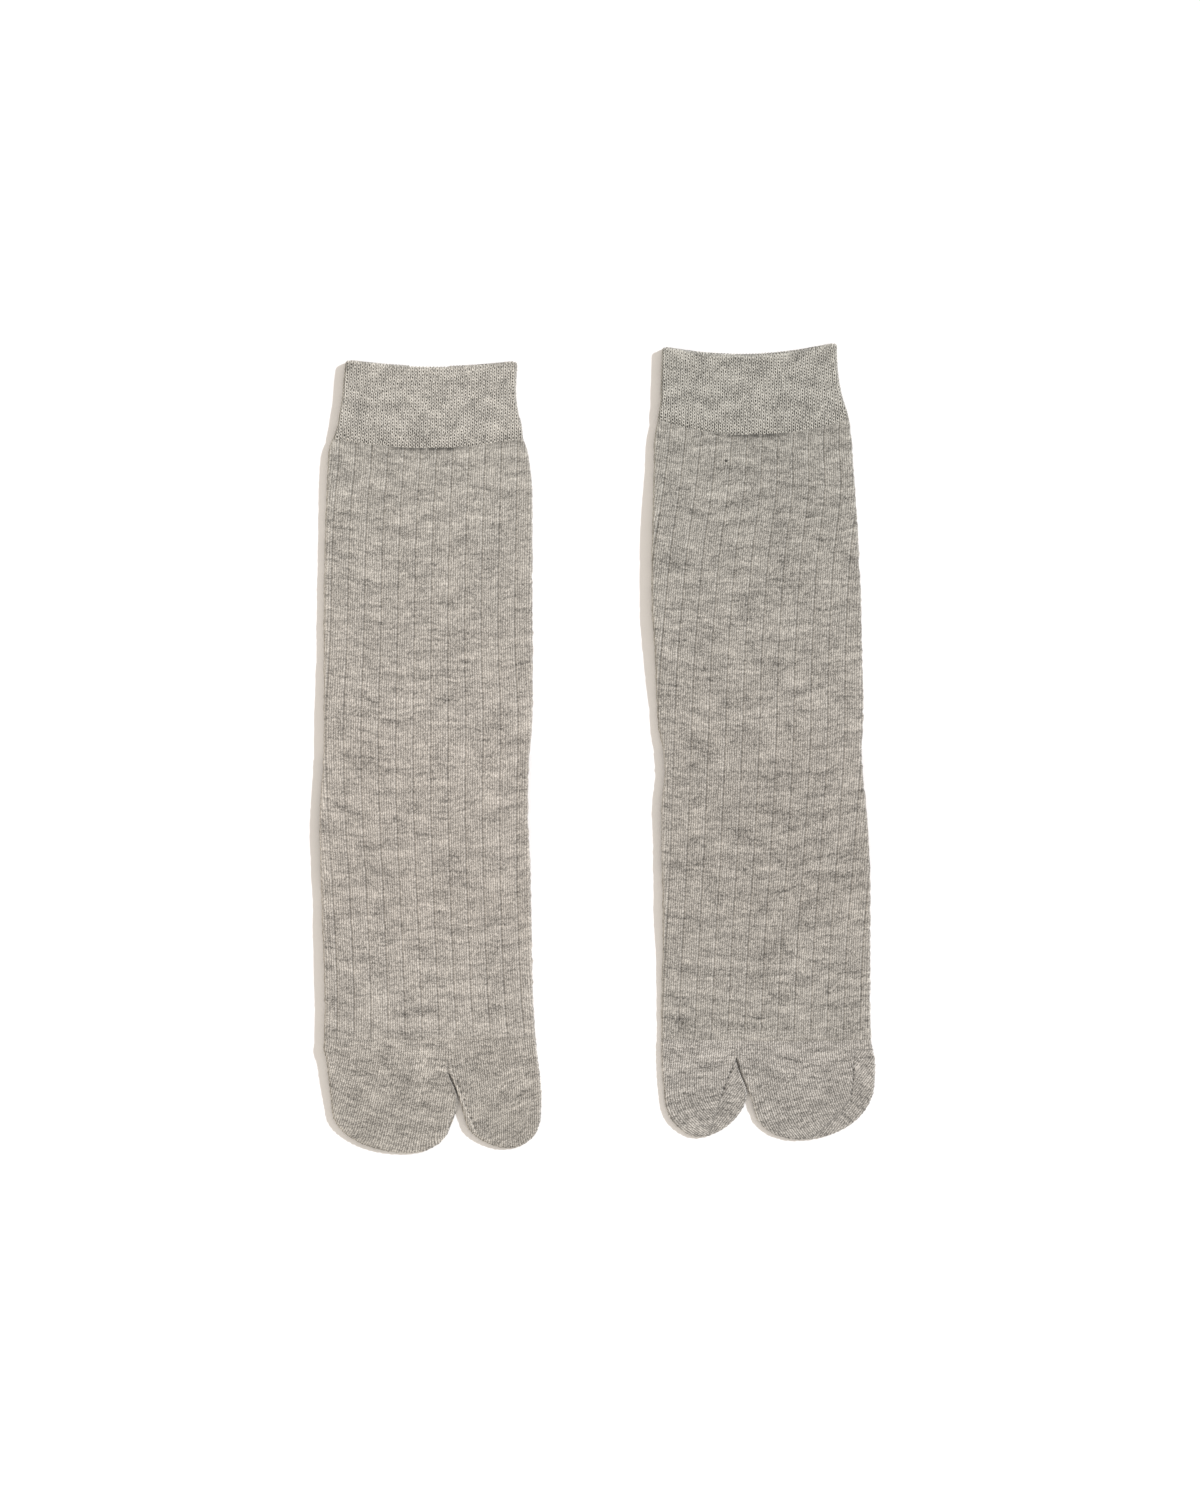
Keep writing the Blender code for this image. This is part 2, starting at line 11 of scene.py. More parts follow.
import bpy
import numpy as np
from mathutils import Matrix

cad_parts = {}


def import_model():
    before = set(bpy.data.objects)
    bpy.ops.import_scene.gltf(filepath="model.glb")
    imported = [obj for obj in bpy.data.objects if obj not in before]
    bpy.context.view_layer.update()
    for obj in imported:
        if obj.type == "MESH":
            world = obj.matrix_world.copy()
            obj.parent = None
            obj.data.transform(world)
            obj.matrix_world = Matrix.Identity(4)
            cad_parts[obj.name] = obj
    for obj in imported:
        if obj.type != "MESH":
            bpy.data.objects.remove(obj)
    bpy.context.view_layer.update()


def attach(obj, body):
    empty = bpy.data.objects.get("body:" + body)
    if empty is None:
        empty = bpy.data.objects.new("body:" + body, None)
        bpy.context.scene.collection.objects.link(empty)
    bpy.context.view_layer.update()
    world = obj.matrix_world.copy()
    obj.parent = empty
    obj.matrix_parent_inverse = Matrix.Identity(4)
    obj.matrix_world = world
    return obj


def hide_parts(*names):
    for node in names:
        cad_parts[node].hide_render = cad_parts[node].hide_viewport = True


MM = 0.001

# ---- Sizes of the socks ----

BACK_WALL = 1.1
FRONT_WALL = 1.1
RIB_RISE = 0.4
PLAIN_RISE = 0.25
WELT_WALL = 1.7
HOLLOW = 0.5
HOLLOW_DOME = 0.3
SEAM_GAP = 0.3
FOLD = 1.6
LEAST_FOLD = 0.3
LEG_TOP = BACK_WALL + HOLLOW + FRONT_WALL + RIB_RISE
TOE_TOP = BACK_WALL + HOLLOW + FRONT_WALL + PLAIN_RISE
CUFF_TOP = 2 * WELT_WALL + HOLLOW
FLOOR_GAP = 0.02

HEEL_THICKNESS = 1.8
HEEL_LIFT = HEEL_THICKNESS + SEAM_GAP
HEEL_INSET = 3.0
HEEL_ROUND = 2.4
BACK_RAMP = 5.5
FRONT_RAMP = 26.0

Row = namedtuple("Row", "down left right")
Dip = namedtuple("Dip", "down front back tilt")  # how far rows hang along the middle
Rib = namedtuple("Rib", "down middle pitch")
Edge = namedtuple("Edge", "down across")
Pouch = namedtuple("Pouch", "outer split tip outer_round split_round")
Side = namedtuple("Side", "down height")  # how high the left-hand fold stands
Seam = namedtuple("Seam", "line size holes strands lean", defaults=(0, 0, 0.0))
Shade = namedtuple("Shade", "down across long wide amount")  # a soft place of painted light or painted shade
# How far columns of stitches run aside for each mm down, at the sides and beside the split.
Sweep = namedtuple("Sweep", "down left split_left split_right right")
# The rim's back lies lower along notch. fine_ribs, counted from the middle, show from above.
# Loops are the cuff's columns. The heel's gore and end, like all stations, count from the rim.
Sock = namedtuple(
    "Sock",
    "place cuff leg dips sides notch seam_shadow loops ribs fine_ribs gore heel_end toe_start "
    "plain apex pouches seams shades sweep gores sag",
)


def table(kind, *rows):
    """Named rows from plain ones."""
    return tuple(kind(*row) for row in rows)


# The sock for the right foot lies at -X. Its big toe is on its own right.
RIGHT_SOCK = Sock(
    place=(-72.8, 166.4),
    cuff=table(
        Row,
        (0.0, -35.5, 38.5), (6.5, -36.3, 38.1), (16.8, -37.2, 38.1), (21.9, -38.1, 38.9),
        (27.1, -38.9, 40.2), (33.1, -40.9, 40.9),
    ),
    leg=table(
        Row,
        (33.1, -40.9, 40.9), (37.4, -42.6, 42.4), (42.6, -43.2, 43.6), (52.9, -43.6, 44.7),
        (72.7, -44.3, 44.9), (102.8, -44.9, 44.9), (132.9, -44.9, 45.1), (160.8, -44.9, 44.5),
        (170.3, -45.1, 43.6), (179.3, -45.6, 43.2), (197.4, -46.7, 43.2), (218.9, -46.2, 44.1),
        (236.1, -45.8, 44.5), (261.9, -44.9, 44.9), (279.9, -44.5, 45.4), (292.0, -44.9, 46.4),
    ),
    dips=table(
        Dip,
        (0.0, 3.0, 2.4, -0.5), (16.8, 3.8, 3.0, 0.0), (33.1, 4.6, 3.4, 0.0),
        (52.9, 1.0, 0.8, 0.0), (72.7, 0.0, 0.0, 0.0),
    ),
    sides=table(
        Side,
        (0.0, 2.9), (42.0, 3.2), (77.0, 2.85), (128.0, 3.2), (146.0, 3.75), (198.0, 3.6),
        (232.0, 3.45), (249.0, 3.8), (292.0, 3.9), (318.0, 3.0), (342.0, 1.9),
    ),
    notch=(-8.1, 8.6),
    seam_shadow=0.0,
    loops=table(Rib, (0.0, 1.0, 1.535), (33.1, 0.2, 1.575)),
    ribs=table(
        Rib,
        (33.0, 3.6, 6.95), (40.4, 3.4, 6.97), (59.8, 2.4, 7.1), (124.3, 1.1, 7.25),
        (154.4, 1.1, 7.5), (188.8, 1.1, 7.4), (231.8, 2.4, 7.2), (274.8, 4.1, 7.2),
        (292.0, 4.8, 7.35),
    ),
    fine_ribs=(-7, 7),
    gore=170.0,
    heel_end=220.0,
    toe_start=292.0,
    plain=table(
        Row,
        (292.0, -44.9, 46.4), (296.3, -45.1, 46.7), (299.7, -44.1, 47.1), (306.6, -43.2, 48.1),
    ),
    apex=Edge(306.6, 9.0),
    pouches=(
        Pouch(  # four toes
            outer=table(Edge, (306.6, -43.2), (316.1, -42.1), (321.9, -41.4)),
            split=table(
                Edge,
                (306.6, 9.0), (307.4, 9.1), (311.8, 11.1), (316.9, 12.7), (322.1, 12.1),
                (328.1, 9.2),
            ),
            tip=Edge(340.7, -8.4),
            outer_round=2.0,
            split_round=2.08,
        ),
        Pouch(  # big toe
            outer=table(Edge, (306.6, 48.1), (316.1, 48.8), (322.9, 48.5)),
            split=table(
                Edge,
                (306.6, 9.0), (307.4, 9.5), (311.8, 11.5), (316.9, 13.2), (322.1, 14.6),
                (328.1, 16.4),
            ),
            tip=Edge(338.6, 33.5),
            outer_round=2.3,
            split_round=1.6,
        ),
    ),
    seams=(
        Seam(table(Edge, (308.4, 12.3), (320.6, 16.5), (331.6, 20.9)), 0.46, holes=9),
        Seam(
            table(Edge, (307.0, 9.9), (314.1, 13.2), (319.5, 15.4), (332.0, 20.4)),
            0.36, strands=13, lean=-0.3,
        ),
        Seam(table(Edge, (303.8, 2.8), (305.6, 9.0)), 0.34, strands=5, lean=-0.9),
    ),
    shades=table(
        Shade,
        (192.0, 0.0, 8.0, 30.0, 0.04), (246.0, 0.0, 12.0, 30.0, -0.04),
        (310.0, 0.0, 6.0, 36.0, -0.035),
    ),
    sweep=table(
        Sweep,
        (284.0, 0.0, 0.03, 0.05, 0.1), (295.0, -0.14, -0.02, 0.06, 0.13),
        (303.0, -0.21, -0.14, 0.18, 0.08), (312.0, -0.28, -0.16, 0.13, 0.05),
        (330.0, -0.31, -0.14, 0.06, 0.0),
    ),
    gores=(),
    sag=9.0,
)

# The sock for the left foot lies at +X. Its big toe is on its own left.
LEFT_SOCK = Sock(
    place=(69.3, 173.2),
    cuff=table(
        Row,
        (0.0, -41.5, 33.8), (8.2, -41.7, 34.0), (18.5, -42.1, 35.3), (23.6, -42.1, 36.5),
        (28.8, -43.0, 38.3), (32.0, -43.4, 39.1),
    ),
    leg=table(
        Row,
        (32.0, -43.4, 39.1), (39.1, -44.7, 40.0), (53.8, -45.1, 41.1), (75.2, -45.6, 42.6),
        (92.5, -46.0, 43.4), (111.4, -46.0, 44.3), (132.0, -44.7, 44.7), (152.7, -43.9, 45.1),
        (164.7, -43.0, 44.9), (173.3, -41.3, 44.3), (181.9, -40.4, 44.7), (199.1, -41.7, 46.4),
        (217.2, -41.7, 47.7), (238.7, -41.3, 48.2), (264.4, -41.3, 48.2), (285.9, -41.7, 48.2),
        (299.0, -41.7, 48.6),
    ),
    dips=table(
        Dip,
        (0.0, 5.0, 3.9, 1.7), (18.5, 5.8, 4.4, 1.2), (32.0, 6.7, 4.6, 0.6),
        (53.8, 1.6, 1.2, 0.0), (75.2, 0.0, 0.0, 0.0),
    ),
    sides=table(
        Side,
        (0.0, 3.9), (49.0, 3.4), (66.0, 4.1), (101.0, 4.4), (135.0, 4.1), (153.0, 3.15),
        (170.0, 3.1), (195.0, 3.6), (221.0, 3.05), (239.0, 3.4), (256.0, 3.0), (273.0, 2.3),
        (325.0, 2.0), (342.0, 1.4),
    ),
    notch=None,
    seam_shadow=-2.0,
    loops=table(Rib, (0.0, -4.0, 1.535), (32.0, -2.2, 1.575)),
    ribs=table(
        Rib,
        (32.0, 8.3, 6.6), (40.9, 7.9, 6.65), (58.0, 7.7, 6.9), (92.5, 3.9, 7.05),
        (109.6, 2.6, 7.1), (131.2, 1.3, 7.2), (174.2, 0.0, 7.3), (217.2, -2.1, 7.15),
        (260.1, -4.7, 7.05), (299.0, -6.3, 7.1),
    ),
    fine_ribs=(-8, 8),
    gore=174.0,
    heel_end=224.0,
    toe_start=299.0,
    plain=table(Row, (299.0, -41.7, 48.6), (302.3, -41.7, 49.2), (307.0, -41.7, 50.2)),
    apex=Edge(307.0, -9.5),
    pouches=(
        Pouch(  # big toe
            outer=table(Edge, (307.0, -41.7), (316.1, -41.1), (322.9, -40.4)),
            split=table(
                Edge,
                (307.0, -9.5), (307.8, -9.5), (311.0, -8.6), (315.2, -7.0), (318.6, -5.6),
                (322.1, -4.9),
            ),
            tip=Edge(340.6, -24.7),
            outer_round=2.0,
            split_round=1.7,
        ),
        Pouch(  # four toes
            outer=table(Edge, (307.0, 50.2), (311.0, 50.3), (316.1, 50.1)),
            split=table(
                Edge,
                (307.0, -9.5), (307.8, -9.1), (311.0, -8.2), (315.2, -6.5), (318.6, -5.1),
                (322.1, -3.9), (328.5, -1.7),
            ),
            tip=Edge(341.7, 17.8),
            outer_round=2.07,
            split_round=2.0,
        ),
    ),
    seams=(
        Seam(table(Edge, (307.2, -9.1), (314.3, -12.8), (323.9, -16.2)), 0.46, holes=7),
        Seam(table(Edge, (305.6, 41.2), (316.7, 40.8), (326.0, 39.6)), 0.44, holes=9),
        Seam(table(Edge, (306.5, 43.4), (306.1, 49.6)), 0.34, holes=7),
        Seam(table(Edge, (301.0, 48.8), (301.6, 49.2)), 0.45, holes=1),
    ),
    shades=table(
        Shade,
        (70.0, 8.0, 32.0, 21.0, -0.1), (163.0, -5.0, 13.0, 36.0, 0.035),
        (217.0, 10.0, 34.0, 22.0, -0.085), (301.0, 3.0, 7.0, 30.0, 0.035),
        (327.0, 10.0, 9.0, 40.0, -0.06),
    ),
    sweep=table(
        Sweep,
        (284.0, -0.11, -0.06, -0.06, 0.01), (293.0, -0.12, -0.04, -0.03, 0.01),
        (302.0, -0.12, -0.12, 0.04, 0.06), (310.0, -0.12, -0.08, 0.12, 0.22),
        (318.6, -0.05, 0.1, 0.1, 0.36), (327.0, 0.15, 0.9, 0.18, 0.5),
        (341.0, 0.7, 1.6, 0.5, 1.0),
    ),
    gores=(
        table(Edge, (306.0, -9.1), (314.3, -12.8), (323.9, -16.2), (341.0, -21.6)),
        (
            Edge(303.0, 41.3), Edge(316.7, 40.8), Edge(324.0, 39.8),
            Edge(334.1, 31.0), Edge(342.0, 22.0),
        ),
    ),
    sag=3.0,
)

# ---- Knitting ----

WALES = 7  # columns of stitches in a rib; an eighth needle is left out at each groove
RIBS_ROUND = 25
COURSE = 0.72  # from one row of stitches to the next
TOE_WALE = 0.94
WALE_DEPTH = 0.08  # from the crown of a column of stitches to the ditch beside it
GROOVE_DEPTH = 0.1
GROOVE_HALF = 0.3  # half the width of a groove, in columns
GROOVE_GAP = 0.2  # bare at each side of a groove's middle, in columns
GROOVE_LEDGE = 0.2  # part of a column that is hidden beside a groove
RIB_DOME = 0.12
DITCH_POWER = 0.8  # the lower, the narrower the ditches
DOME_POWER = 6  # the higher, the flatter the ribs
WALE_SWAY = 0.16  # how far a column of stitches wanders sideways
RAGGED = 0.14  # how far loops stand out of line along the outline
SWELL = 0.16
SWELL_LONG = 60.0

SAMPLES = 4  # points across one column of stitches
GROOVE_EDGE = 0.13  # one more point each side of a groove, in columns
COARSE = 8  # points across a rib on the hidden back
LEG_ROW = 1.55
WELD = 1e-7
SQUARENESS = 3.2  # of the folded sides: 2 is an ellipse
COURSE_SAG = 3.0  # the rows of stitches hang lower along the middle of a sock
COURSE_WANDER = 1.6  # and wander up and down by about so many rows
WANDER_LONG = 90.0
END_RISE = 22.0  # the folds' own height spreads across the ends of the toes over this stretch
SIDE_POWER = 1.5  # the higher, the closer it keeps to the left fold
WHOLE_MAP = (0.01, 0.01, 0.99, 0.99)  # a patch's place on the bake map, when it has it to itself


def smooth(rows, column, down):
    """A column's values at these stations, on a cubic through a table's rows."""
    stations = np.array([row.down for row in rows])
    values = np.array([getattr(row, column) for row in rows])
    down = np.clip(down, stations[0], stations[-1])
    slopes = np.gradient(values, stations)
    i = np.clip(np.searchsorted(stations, down, side="right") - 1, 0, len(stations) - 2)
    span = stations[i + 1] - stations[i]
    t = (down - stations[i]) / span
    rise = values[i + 1] - values[i]
    near = slopes[i] * span - rise
    far = rise - slopes[i + 1] * span
    return values[i] + t * rise + t * (1 - t) * ((1 - t) * near + t * far)


def ease(share):
    """0 to 1 with a soft start and end."""
    share = np.clip(share, 0.0, 1.0)
    return share * share * (3 - 2 * share)


def add(name, data):
    obj = bpy.data.objects.new(name, data)
    bpy.context.scene.collection.objects.link(obj)
    return obj


def bell(value, width):
    """1 at 0, falling away evenly to both sides."""
    return np.exp(-((value / width) ** 2))


def across_at(edges, down):
    return np.interp(down, [edge.down for edge in edges], [edge.across for edge in edges])


def waves(x, y, seed, longest, count=7):
    """A gentle uneven surface about -1 to 1: a sum of sine waves of this length and shorter."""
    draw = np.random.default_rng(seed)
    total = 0.0
    for i in range(count):
        angle = draw.uniform(0, math.pi)
        length = longest * 0.8**i
        turn = 2 * math.pi * (x * math.cos(angle) + y * math.sin(angle)) / length
        total = total + np.sin(turn + draw.uniform(0, 2 * math.pi)) * 0.85**i
    return total / count**0.5


class Skin:
    """Collects grids of points into one welded mesh with a knit map and a bake map."""

    def __init__(self):
        self.patches = []
        self.count = 0

    def patch(self, points, knit, area, holes_and_shade=0.0, tone_and_light=0.0, flip=False):
        """points is rows x columns x 3. Rows run down and columns to the right on an upward face.

        area is the patch's place on the bake map: left, bottom, right, top. holes_and_shade marks
        dark gaps, holes and painted shade; tone_and_light marks pale loops, painted light and
        shade.
        """
        rows, columns = points.shape[:2]
        index = np.arange(rows * columns).reshape(rows, columns) + self.count
        corners = [index[:-1, :-1], index[1:, :-1], index[1:, 1:], index[:-1, 1:]]
        if flip:
            corners.reverse()
        faces = np.stack(corners, -1).reshape(-1, 4)
        left, bottom, right, top = area
        bake = np.meshgrid(np.linspace(left, right, columns), np.linspace(top, bottom, rows))
        maps = [np.broadcast_to(pair, (rows, columns, 2)) for pair in (knit, np.stack(bake, -1))]
        maps = [pair.reshape(-1, 2) for pair in maps]
        marks = [np.broadcast_to(mark, (rows, columns)).reshape(-1) for mark in (holes_and_shade, tone_and_light)]
        self.patches.append((points.reshape(-1, 3), faces, *maps, *marks))
        self.count += rows * columns

    def finish(self, name, material, place, replaces):
        """Makes the piece, with its points welded wherever they meet."""
        points, faces, knit, bake, holes_and_shade, tone_and_light = map(np.concatenate, zip(*self.patches))
        points = points * MM
        points[:, :2] += np.array(place) * MM
        key = np.round(points / WELD).astype(np.int64)
        key -= key.min(0)
        key = (key[:, 0] << 42) + (key[:, 1] << 20) + key[:, 2]
        _, first, inverse = np.unique(key, return_index=True, return_inverse=True)
        welded = inverse.reshape(-1)[faces]
        mesh = bpy.data.meshes.new(name)
        mesh.vertices.add(len(first))
        mesh.vertices.foreach_set("co", points[first].astype(np.float32).ravel())
        mesh.loops.add(welded.size)
        mesh.loops.foreach_set("vertex_index", welded.astype(np.int32).ravel())
        mesh.polygons.add(len(welded))
        mesh.polygons.foreach_set("loop_start", np.arange(0, welded.size, 4, dtype=np.int32))
        for label, values in (("OFBake", bake), ("Knit", knit)):
            values = values[faces].astype(np.float32)
            mesh.uv_layers.new(name=label).uv.foreach_set("vector", values.ravel())
        for label, values in (("Holes and shade", holes_and_shade), ("Tone and light", tone_and_light)):
            marks = mesh.attributes.new(label, "FLOAT", "POINT")
            marks.data.foreach_set("value", values[first].astype(np.float32))
        mesh.update(calc_edges=True)
        mesh.validate()
        mesh.shade_smooth()
        mesh.materials.append(material)
        obj = add(name, mesh)
        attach(obj, "root")
        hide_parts(replaces)
        return obj


class Rows:
    """The flattened tube's measures at each station, as columns of numbers."""

    def __init__(self, sock, down, sides, pitches, low, high, inset):
        self.down = down
        self.left = smooth(sides, "left", down) + inset
        self.right = smooth(sides, "right", down) - inset
        self.low = np.broadcast_to(low, down.shape) + inset
        self.high = np.broadcast_to(high, down.shape) - inset
        self.fold = np.maximum(FOLD - inset, LEAST_FOLD)
        self.middle = smooth(pitches, "middle", down)
        self.pitch = smooth(pitches, "pitch", down)
        past = down > sock.dips[-1].down
        self.front_dip, self.back_dip, self.tilt = (
            np.where(past, 0.0, smooth(sock.dips, name, down)) for name in Dip._fields[1:]
        )

    def share_across(self, x):
        """-1 at the left side, 0 in the middle and 1 at the right side."""
        return (2 * x - (self.left + self.right)[:, None]) / (self.right - self.left)[:, None]


def wrap(rows, columns, around):
    """Lays columns round flattened tubes, numbered in pitches from the middle of the front.

    It gives back x, z and the outward direction's two parts, each rows x columns.
    """
    left, right, low, high, fold, middle, pitch = (
        getattr(rows, name)[:, None]
        for name in ("left", "right", "low", "high", "fold", "middle", "pitch")
    )
    half = (high - low) / 2
    centre = (high + low) / 2
    flat_left = left + fold
    flat_right = right - fold
    flat = flat_right - flat_left
    quarter = math.pi / 2 * np.sqrt((fold**2 + half**2) / 2)
    start = (flat_left - middle - quarter) / pitch
    end = (flat_right - middle + quarter) / pitch
    hidden = (2 * quarter + flat) / (around - (end - start))
    column = columns[None, :]
    column = np.where(column < start, column + around, column)
    along = np.where(
        column <= end,
        (column - start) * pitch,
        (end - start) * pitch + (column - end) * hidden,
    )
    passed = 0.0
    cases, found = [], []
    for number, stretch in enumerate((quarter, flat, quarter, quarter, flat, quarter)):
        share = (along - passed) / stretch
        turn = np.clip(share, 0, 1) * math.pi / 2
        sine, cosine = np.sin(turn), np.maximum(np.cos(turn), 0)
        far, near = sine ** (2 / SQUARENESS), cosine ** (2 / SQUARENESS)
        lean, rise = cosine ** (2 - 2 / SQUARENESS), sine ** (2 - 2 / SQUARENESS)
        # Up the left fold, along the front, down the right fold in two parts, back to the left.
        place = (
            (flat_left - fold * near, centre + half * far, -lean, rise),
            (flat_left + share * flat, high, 0.0, 1.0),
            (flat_right + fold * far, centre + half * near, rise, lean),
            (flat_right + fold * near, centre - half * far, lean, -rise),
            (flat_right - share * flat, low, 0.0, -1.0),
            (flat_left - fold * far, centre - half * near, -rise, -lean),
        )[number]
        passed = passed + stretch
        cases.append(along < passed)
        found.append([np.broadcast_to(value, along.shape) for value in place])
    cases[-1] = np.ones_like(along, bool)
    return tuple(np.select(cases, values) for values in zip(*found))


def tube(rows, columns, around, sink, wobble):
    """Points of a flattened tube, sunk by this much under its crowns."""
    x, z, out, up = wrap(rows, columns, around)
    across = rows.share_across(x)
    arch = np.maximum(0.0, 1 - across**2)
    dip = rows.back_dip[:, None]
    dip = dip + (rows.front_dip - rows.back_dip)[:, None] * (up + 1) / 2
    z = z + HOLLOW_DOME * arch * np.maximum(up, 0)
    x = x - out * sink + out * wobble
    z = z - up * sink
    y = -(rows.down[:, None] + dip * arch - rows.tilt[:, None] * across / 2)
    return np.stack([x, y, z], -1)


def ragged_rows(seed, size, rows, columns, closed=False):
    """How far each row stands out of line: one value for half the columns and one for the rest."""
    wobble = np.random.default_rng(seed).normal(0, size, (len(rows.down), 2))
    if closed:
        wobble[-1] = wobble[0]
    first = np.arange(len(columns))[None, :] < len(columns) // 2
    return np.where(first, wobble[:, :1], wobble[:, 1:])


def needle(wale):
    """The place on the knit map: columns of stitches stand a little apart at each groove."""
    rib = np.floor(wale / WALES) * WALES
    spread = (wale - rib - GROOVE_GAP) * WALES / (WALES - 2 * GROOVE_GAP)
    return rib + np.clip(spread, GROOVE_LEDGE, WALES - GROOVE_LEDGE)


def ditch_at(wale):
    """0 along the crown of a column of stitches and 1 between two columns."""
    return 1 - np.abs(np.sin(math.pi * wale)) ** DITCH_POWER


def rib_relief(wale):
    """How far the surface lies under the crowns: ditches between columns, grooves between ribs
    and the ribs' rounding."""
    ditch = ditch_at(needle(wale))
    place = np.mod(wale, WALES) / WALES
    from_groove = np.minimum(place, 1 - place) * WALES
    groove = bell(from_groove, GROOVE_HALF)
    dome = np.abs(2 * place - 1) ** DOME_POWER
    return ditch, groove, dome


def side_rise(sock, down, top, across):
    """What the left-hand fold's own height adds to a wall of this top: most at the left, and evenly
    at the ends of the toes."""
    extra = smooth(sock.sides, "height", down) - top
    share = ((1 - np.clip(across, -1, 1)) / 2) ** SIDE_POWER
    return extra * (share + (1 - share) * ease((down - sock.apex.down) / END_RISE))


def soft_shades(sock, x, down):
    """How much painted light there is here: negative in painted soft shade."""
    total = 0.0
    for place in sock.shades:
        near = bell(x - place.across, place.wide) * bell(down - place.down, place.long)
        total = total + place.amount * near
    return total


def swell(x, y, seed):
    """The knit's gentle unevenness where it lies flat."""
    return SWELL * waves(x, y, seed, SWELL_LONG)


def course_at(x, y, across, sag, seed):
    """Which row of stitches a place lies in."""
    wander = COURSE_WANDER * waves(x, y, seed + 7, WANDER_LONG, 4)
    return -(y + sag * (1 - across**2)) / COURSE + wander


# ---- Leg and foot ----


def lift(sock, down, rise_ends, ramp):
    """How far the heel pocket under the sole raises a wall."""
    rise = ease((down - rise_ends + ramp) / ramp)
    fall = ease((down - sock.heel_end - SEAM_GAP) / ramp)
    return HEEL_LIFT * rise * (1 - fall)


LEG_TUCK = 0.8  # runs on under the cuff
LEG_TUCK_IN = 0.45
NEAR_CUFF = 0.45  # two more rows, this far apart, just below the cuff
SETTLE = 12.0  # the folded sides reach their own height so far below the cuff
WALE_SWAY_LONG = 8.0
LEG_END = 0.3  # runs on under the toe
LEG_END_IN = (0.25, 0.7)
LEG_END_DIP = 0.1  # the leg's last stitches dip under the toe's first
LEG_END_SLOPE = 1.5
RIBS_END = 4.5  # the ribs' relief fades out this far above the toe
RIBS_FADE = 2.5
SEAM_SHADOW_WIDE = 17.0
SEAM_SHADOW_TALL = 1.4
SEAM_SHADE = 1.6
SEAM_SHADE_LONG = 6.0
# painted shade below the cuff, fading down the leg
UNDER_CUFF = 0.07
UNDER_CUFF_TALL = 8.0
FOLD_HIGHLIGHT = 0.45  # painted highlight along the crest of the left-hand fold, which lies in shade
FOLD_HIGHLIGHT_WIDE = 0.9


def leg_columns(sock):
    first, last = sock.fine_ribs
    phases = [i / SAMPLES for i in range(WALES * SAMPLES)]
    phases += [GROOVE_EDGE, WALES - GROOVE_EDGE]
    phases = np.sort(phases) / WALES
    fine = (np.arange(first, last)[:, None] + phases[None, :]).ravel()
    back = np.arange(last * COARSE, (first + RIBS_ROUND) * COARSE + 1) / COARSE
    return np.concatenate([fine, back])


def make_leg(sock, side, seed, materials):
    seam = sock.gore - SEAM_GAP
    start, end = sock.leg[0].down, sock.toe_start
    count = round((end - start) / LEG_ROW)
    body = start + (end - start) * np.arange(count + 1) / count
    steps = [start + NEAR_CUFF, start + 2 * NEAR_CUFF, seam - SEAM_GAP / 2, seam]
    down = np.concatenate([[start - LEG_TUCK, start - LEG_TUCK / 2], body, steps])
    inset = np.zeros(len(down))
    inset[:2] = LEG_TUCK_IN, LEG_TUCK_IN / 2
    order = np.argsort(down)
    down = np.concatenate([down[order], [end + LEG_END, end + LEG_END]])
    inset = np.concatenate([inset[order], LEG_END_IN])
    low = np.where(down >= seam, lift(sock, down, seam, BACK_RAMP), 0.0)
    high = LEG_TOP + lift(sock, down, seam - BACK_RAMP, FRONT_RAMP)
    rows = Rows(sock, down, sock.leg, sock.ribs, low, high, inset)
    columns = leg_columns(sock)
    wale = columns * WALES
    ditch, groove, dome = rib_relief(wale)
    fade = (1 - ease((down - end + RIBS_END) / RIBS_FADE))[:, None]
    sink = WALE_DEPTH * ditch[None, :] + fade * (GROOVE_DEPTH * groove + RIB_DOME * dome)
    points = tube(rows, columns, RIBS_ROUND, sink, ragged_rows(seed, RAGGED, rows, columns))
    points[:, -1] = points[:, 0]
    x, y, z = (points[:, :, i] for i in range(3))  # views, so changes reach points
    low, high = rows.low[:, None], rows.high[:, None]
    on_front = np.clip((z - low) / (high - low), 0, 1)
    across = rows.share_across(x)
    x += WALE_SWAY * waves(x, y, seed + 5, WALE_SWAY_LONG, 5) * np.maximum(0, 1 - across**8)
    settle = ease((down - start) / SETTLE)[:, None]
    z += on_front * (swell(x, y, seed) + settle * side_rise(sock, down[:, None], high, across))
    end_dip = LEG_END_DIP * ease((down - end + LEG_END_SLOPE) / LEG_END_SLOPE)
    z -= end_dip[:, None] * on_front
    points[:, :, 2] = np.maximum(z, FLOOR_GAP)
    course = course_at(x, y, across, COURSE_SAG, seed)
    knit = np.stack([np.broadcast_to(needle(wale), course.shape), course], -1)
    past_cuff = np.maximum(down - start, 0)[:, None]
    uneven = 0.7 + 0.3 * waves(x, np.zeros_like(x), seed + 8, SEAM_SHADE_LONG)
    middle = np.exp(-(((x - sock.seam_shadow) / SEAM_SHADOW_WIDE) ** 4))
    shadow = bell(past_cuff, SEAM_SHADOW_TALL) * uneven * (0.1 + 0.9 * middle)
    holes_and_shade = SEAM_SHADE * shadow * (0.7 + 0.3 * ditch)
    # painted shade below the cuff
    holes_and_shade = holes_and_shade + UNDER_CUFF * np.exp(-past_cuff / UNDER_CUFF_TALL)
    # painted highlight on the left-hand fold, which lies in shade
    painted_fold_light = FOLD_HIGHLIGHT * bell(x - rows.left[:, None], FOLD_HIGHLIGHT_WIDE)
    tone_and_light = painted_fold_light + on_front * soft_shades(sock, x, -y)
    skin = Skin()
    skin.patch(points, knit, WHOLE_MAP, np.clip(holes_and_shade, 0, 1), tone_and_light)
    name, node = side + "_ribbed_leg", side + "_leg_and_foot"
    obj = skin.finish(name, materials["leg"], sock.place, node)


# ---- Cuff ----

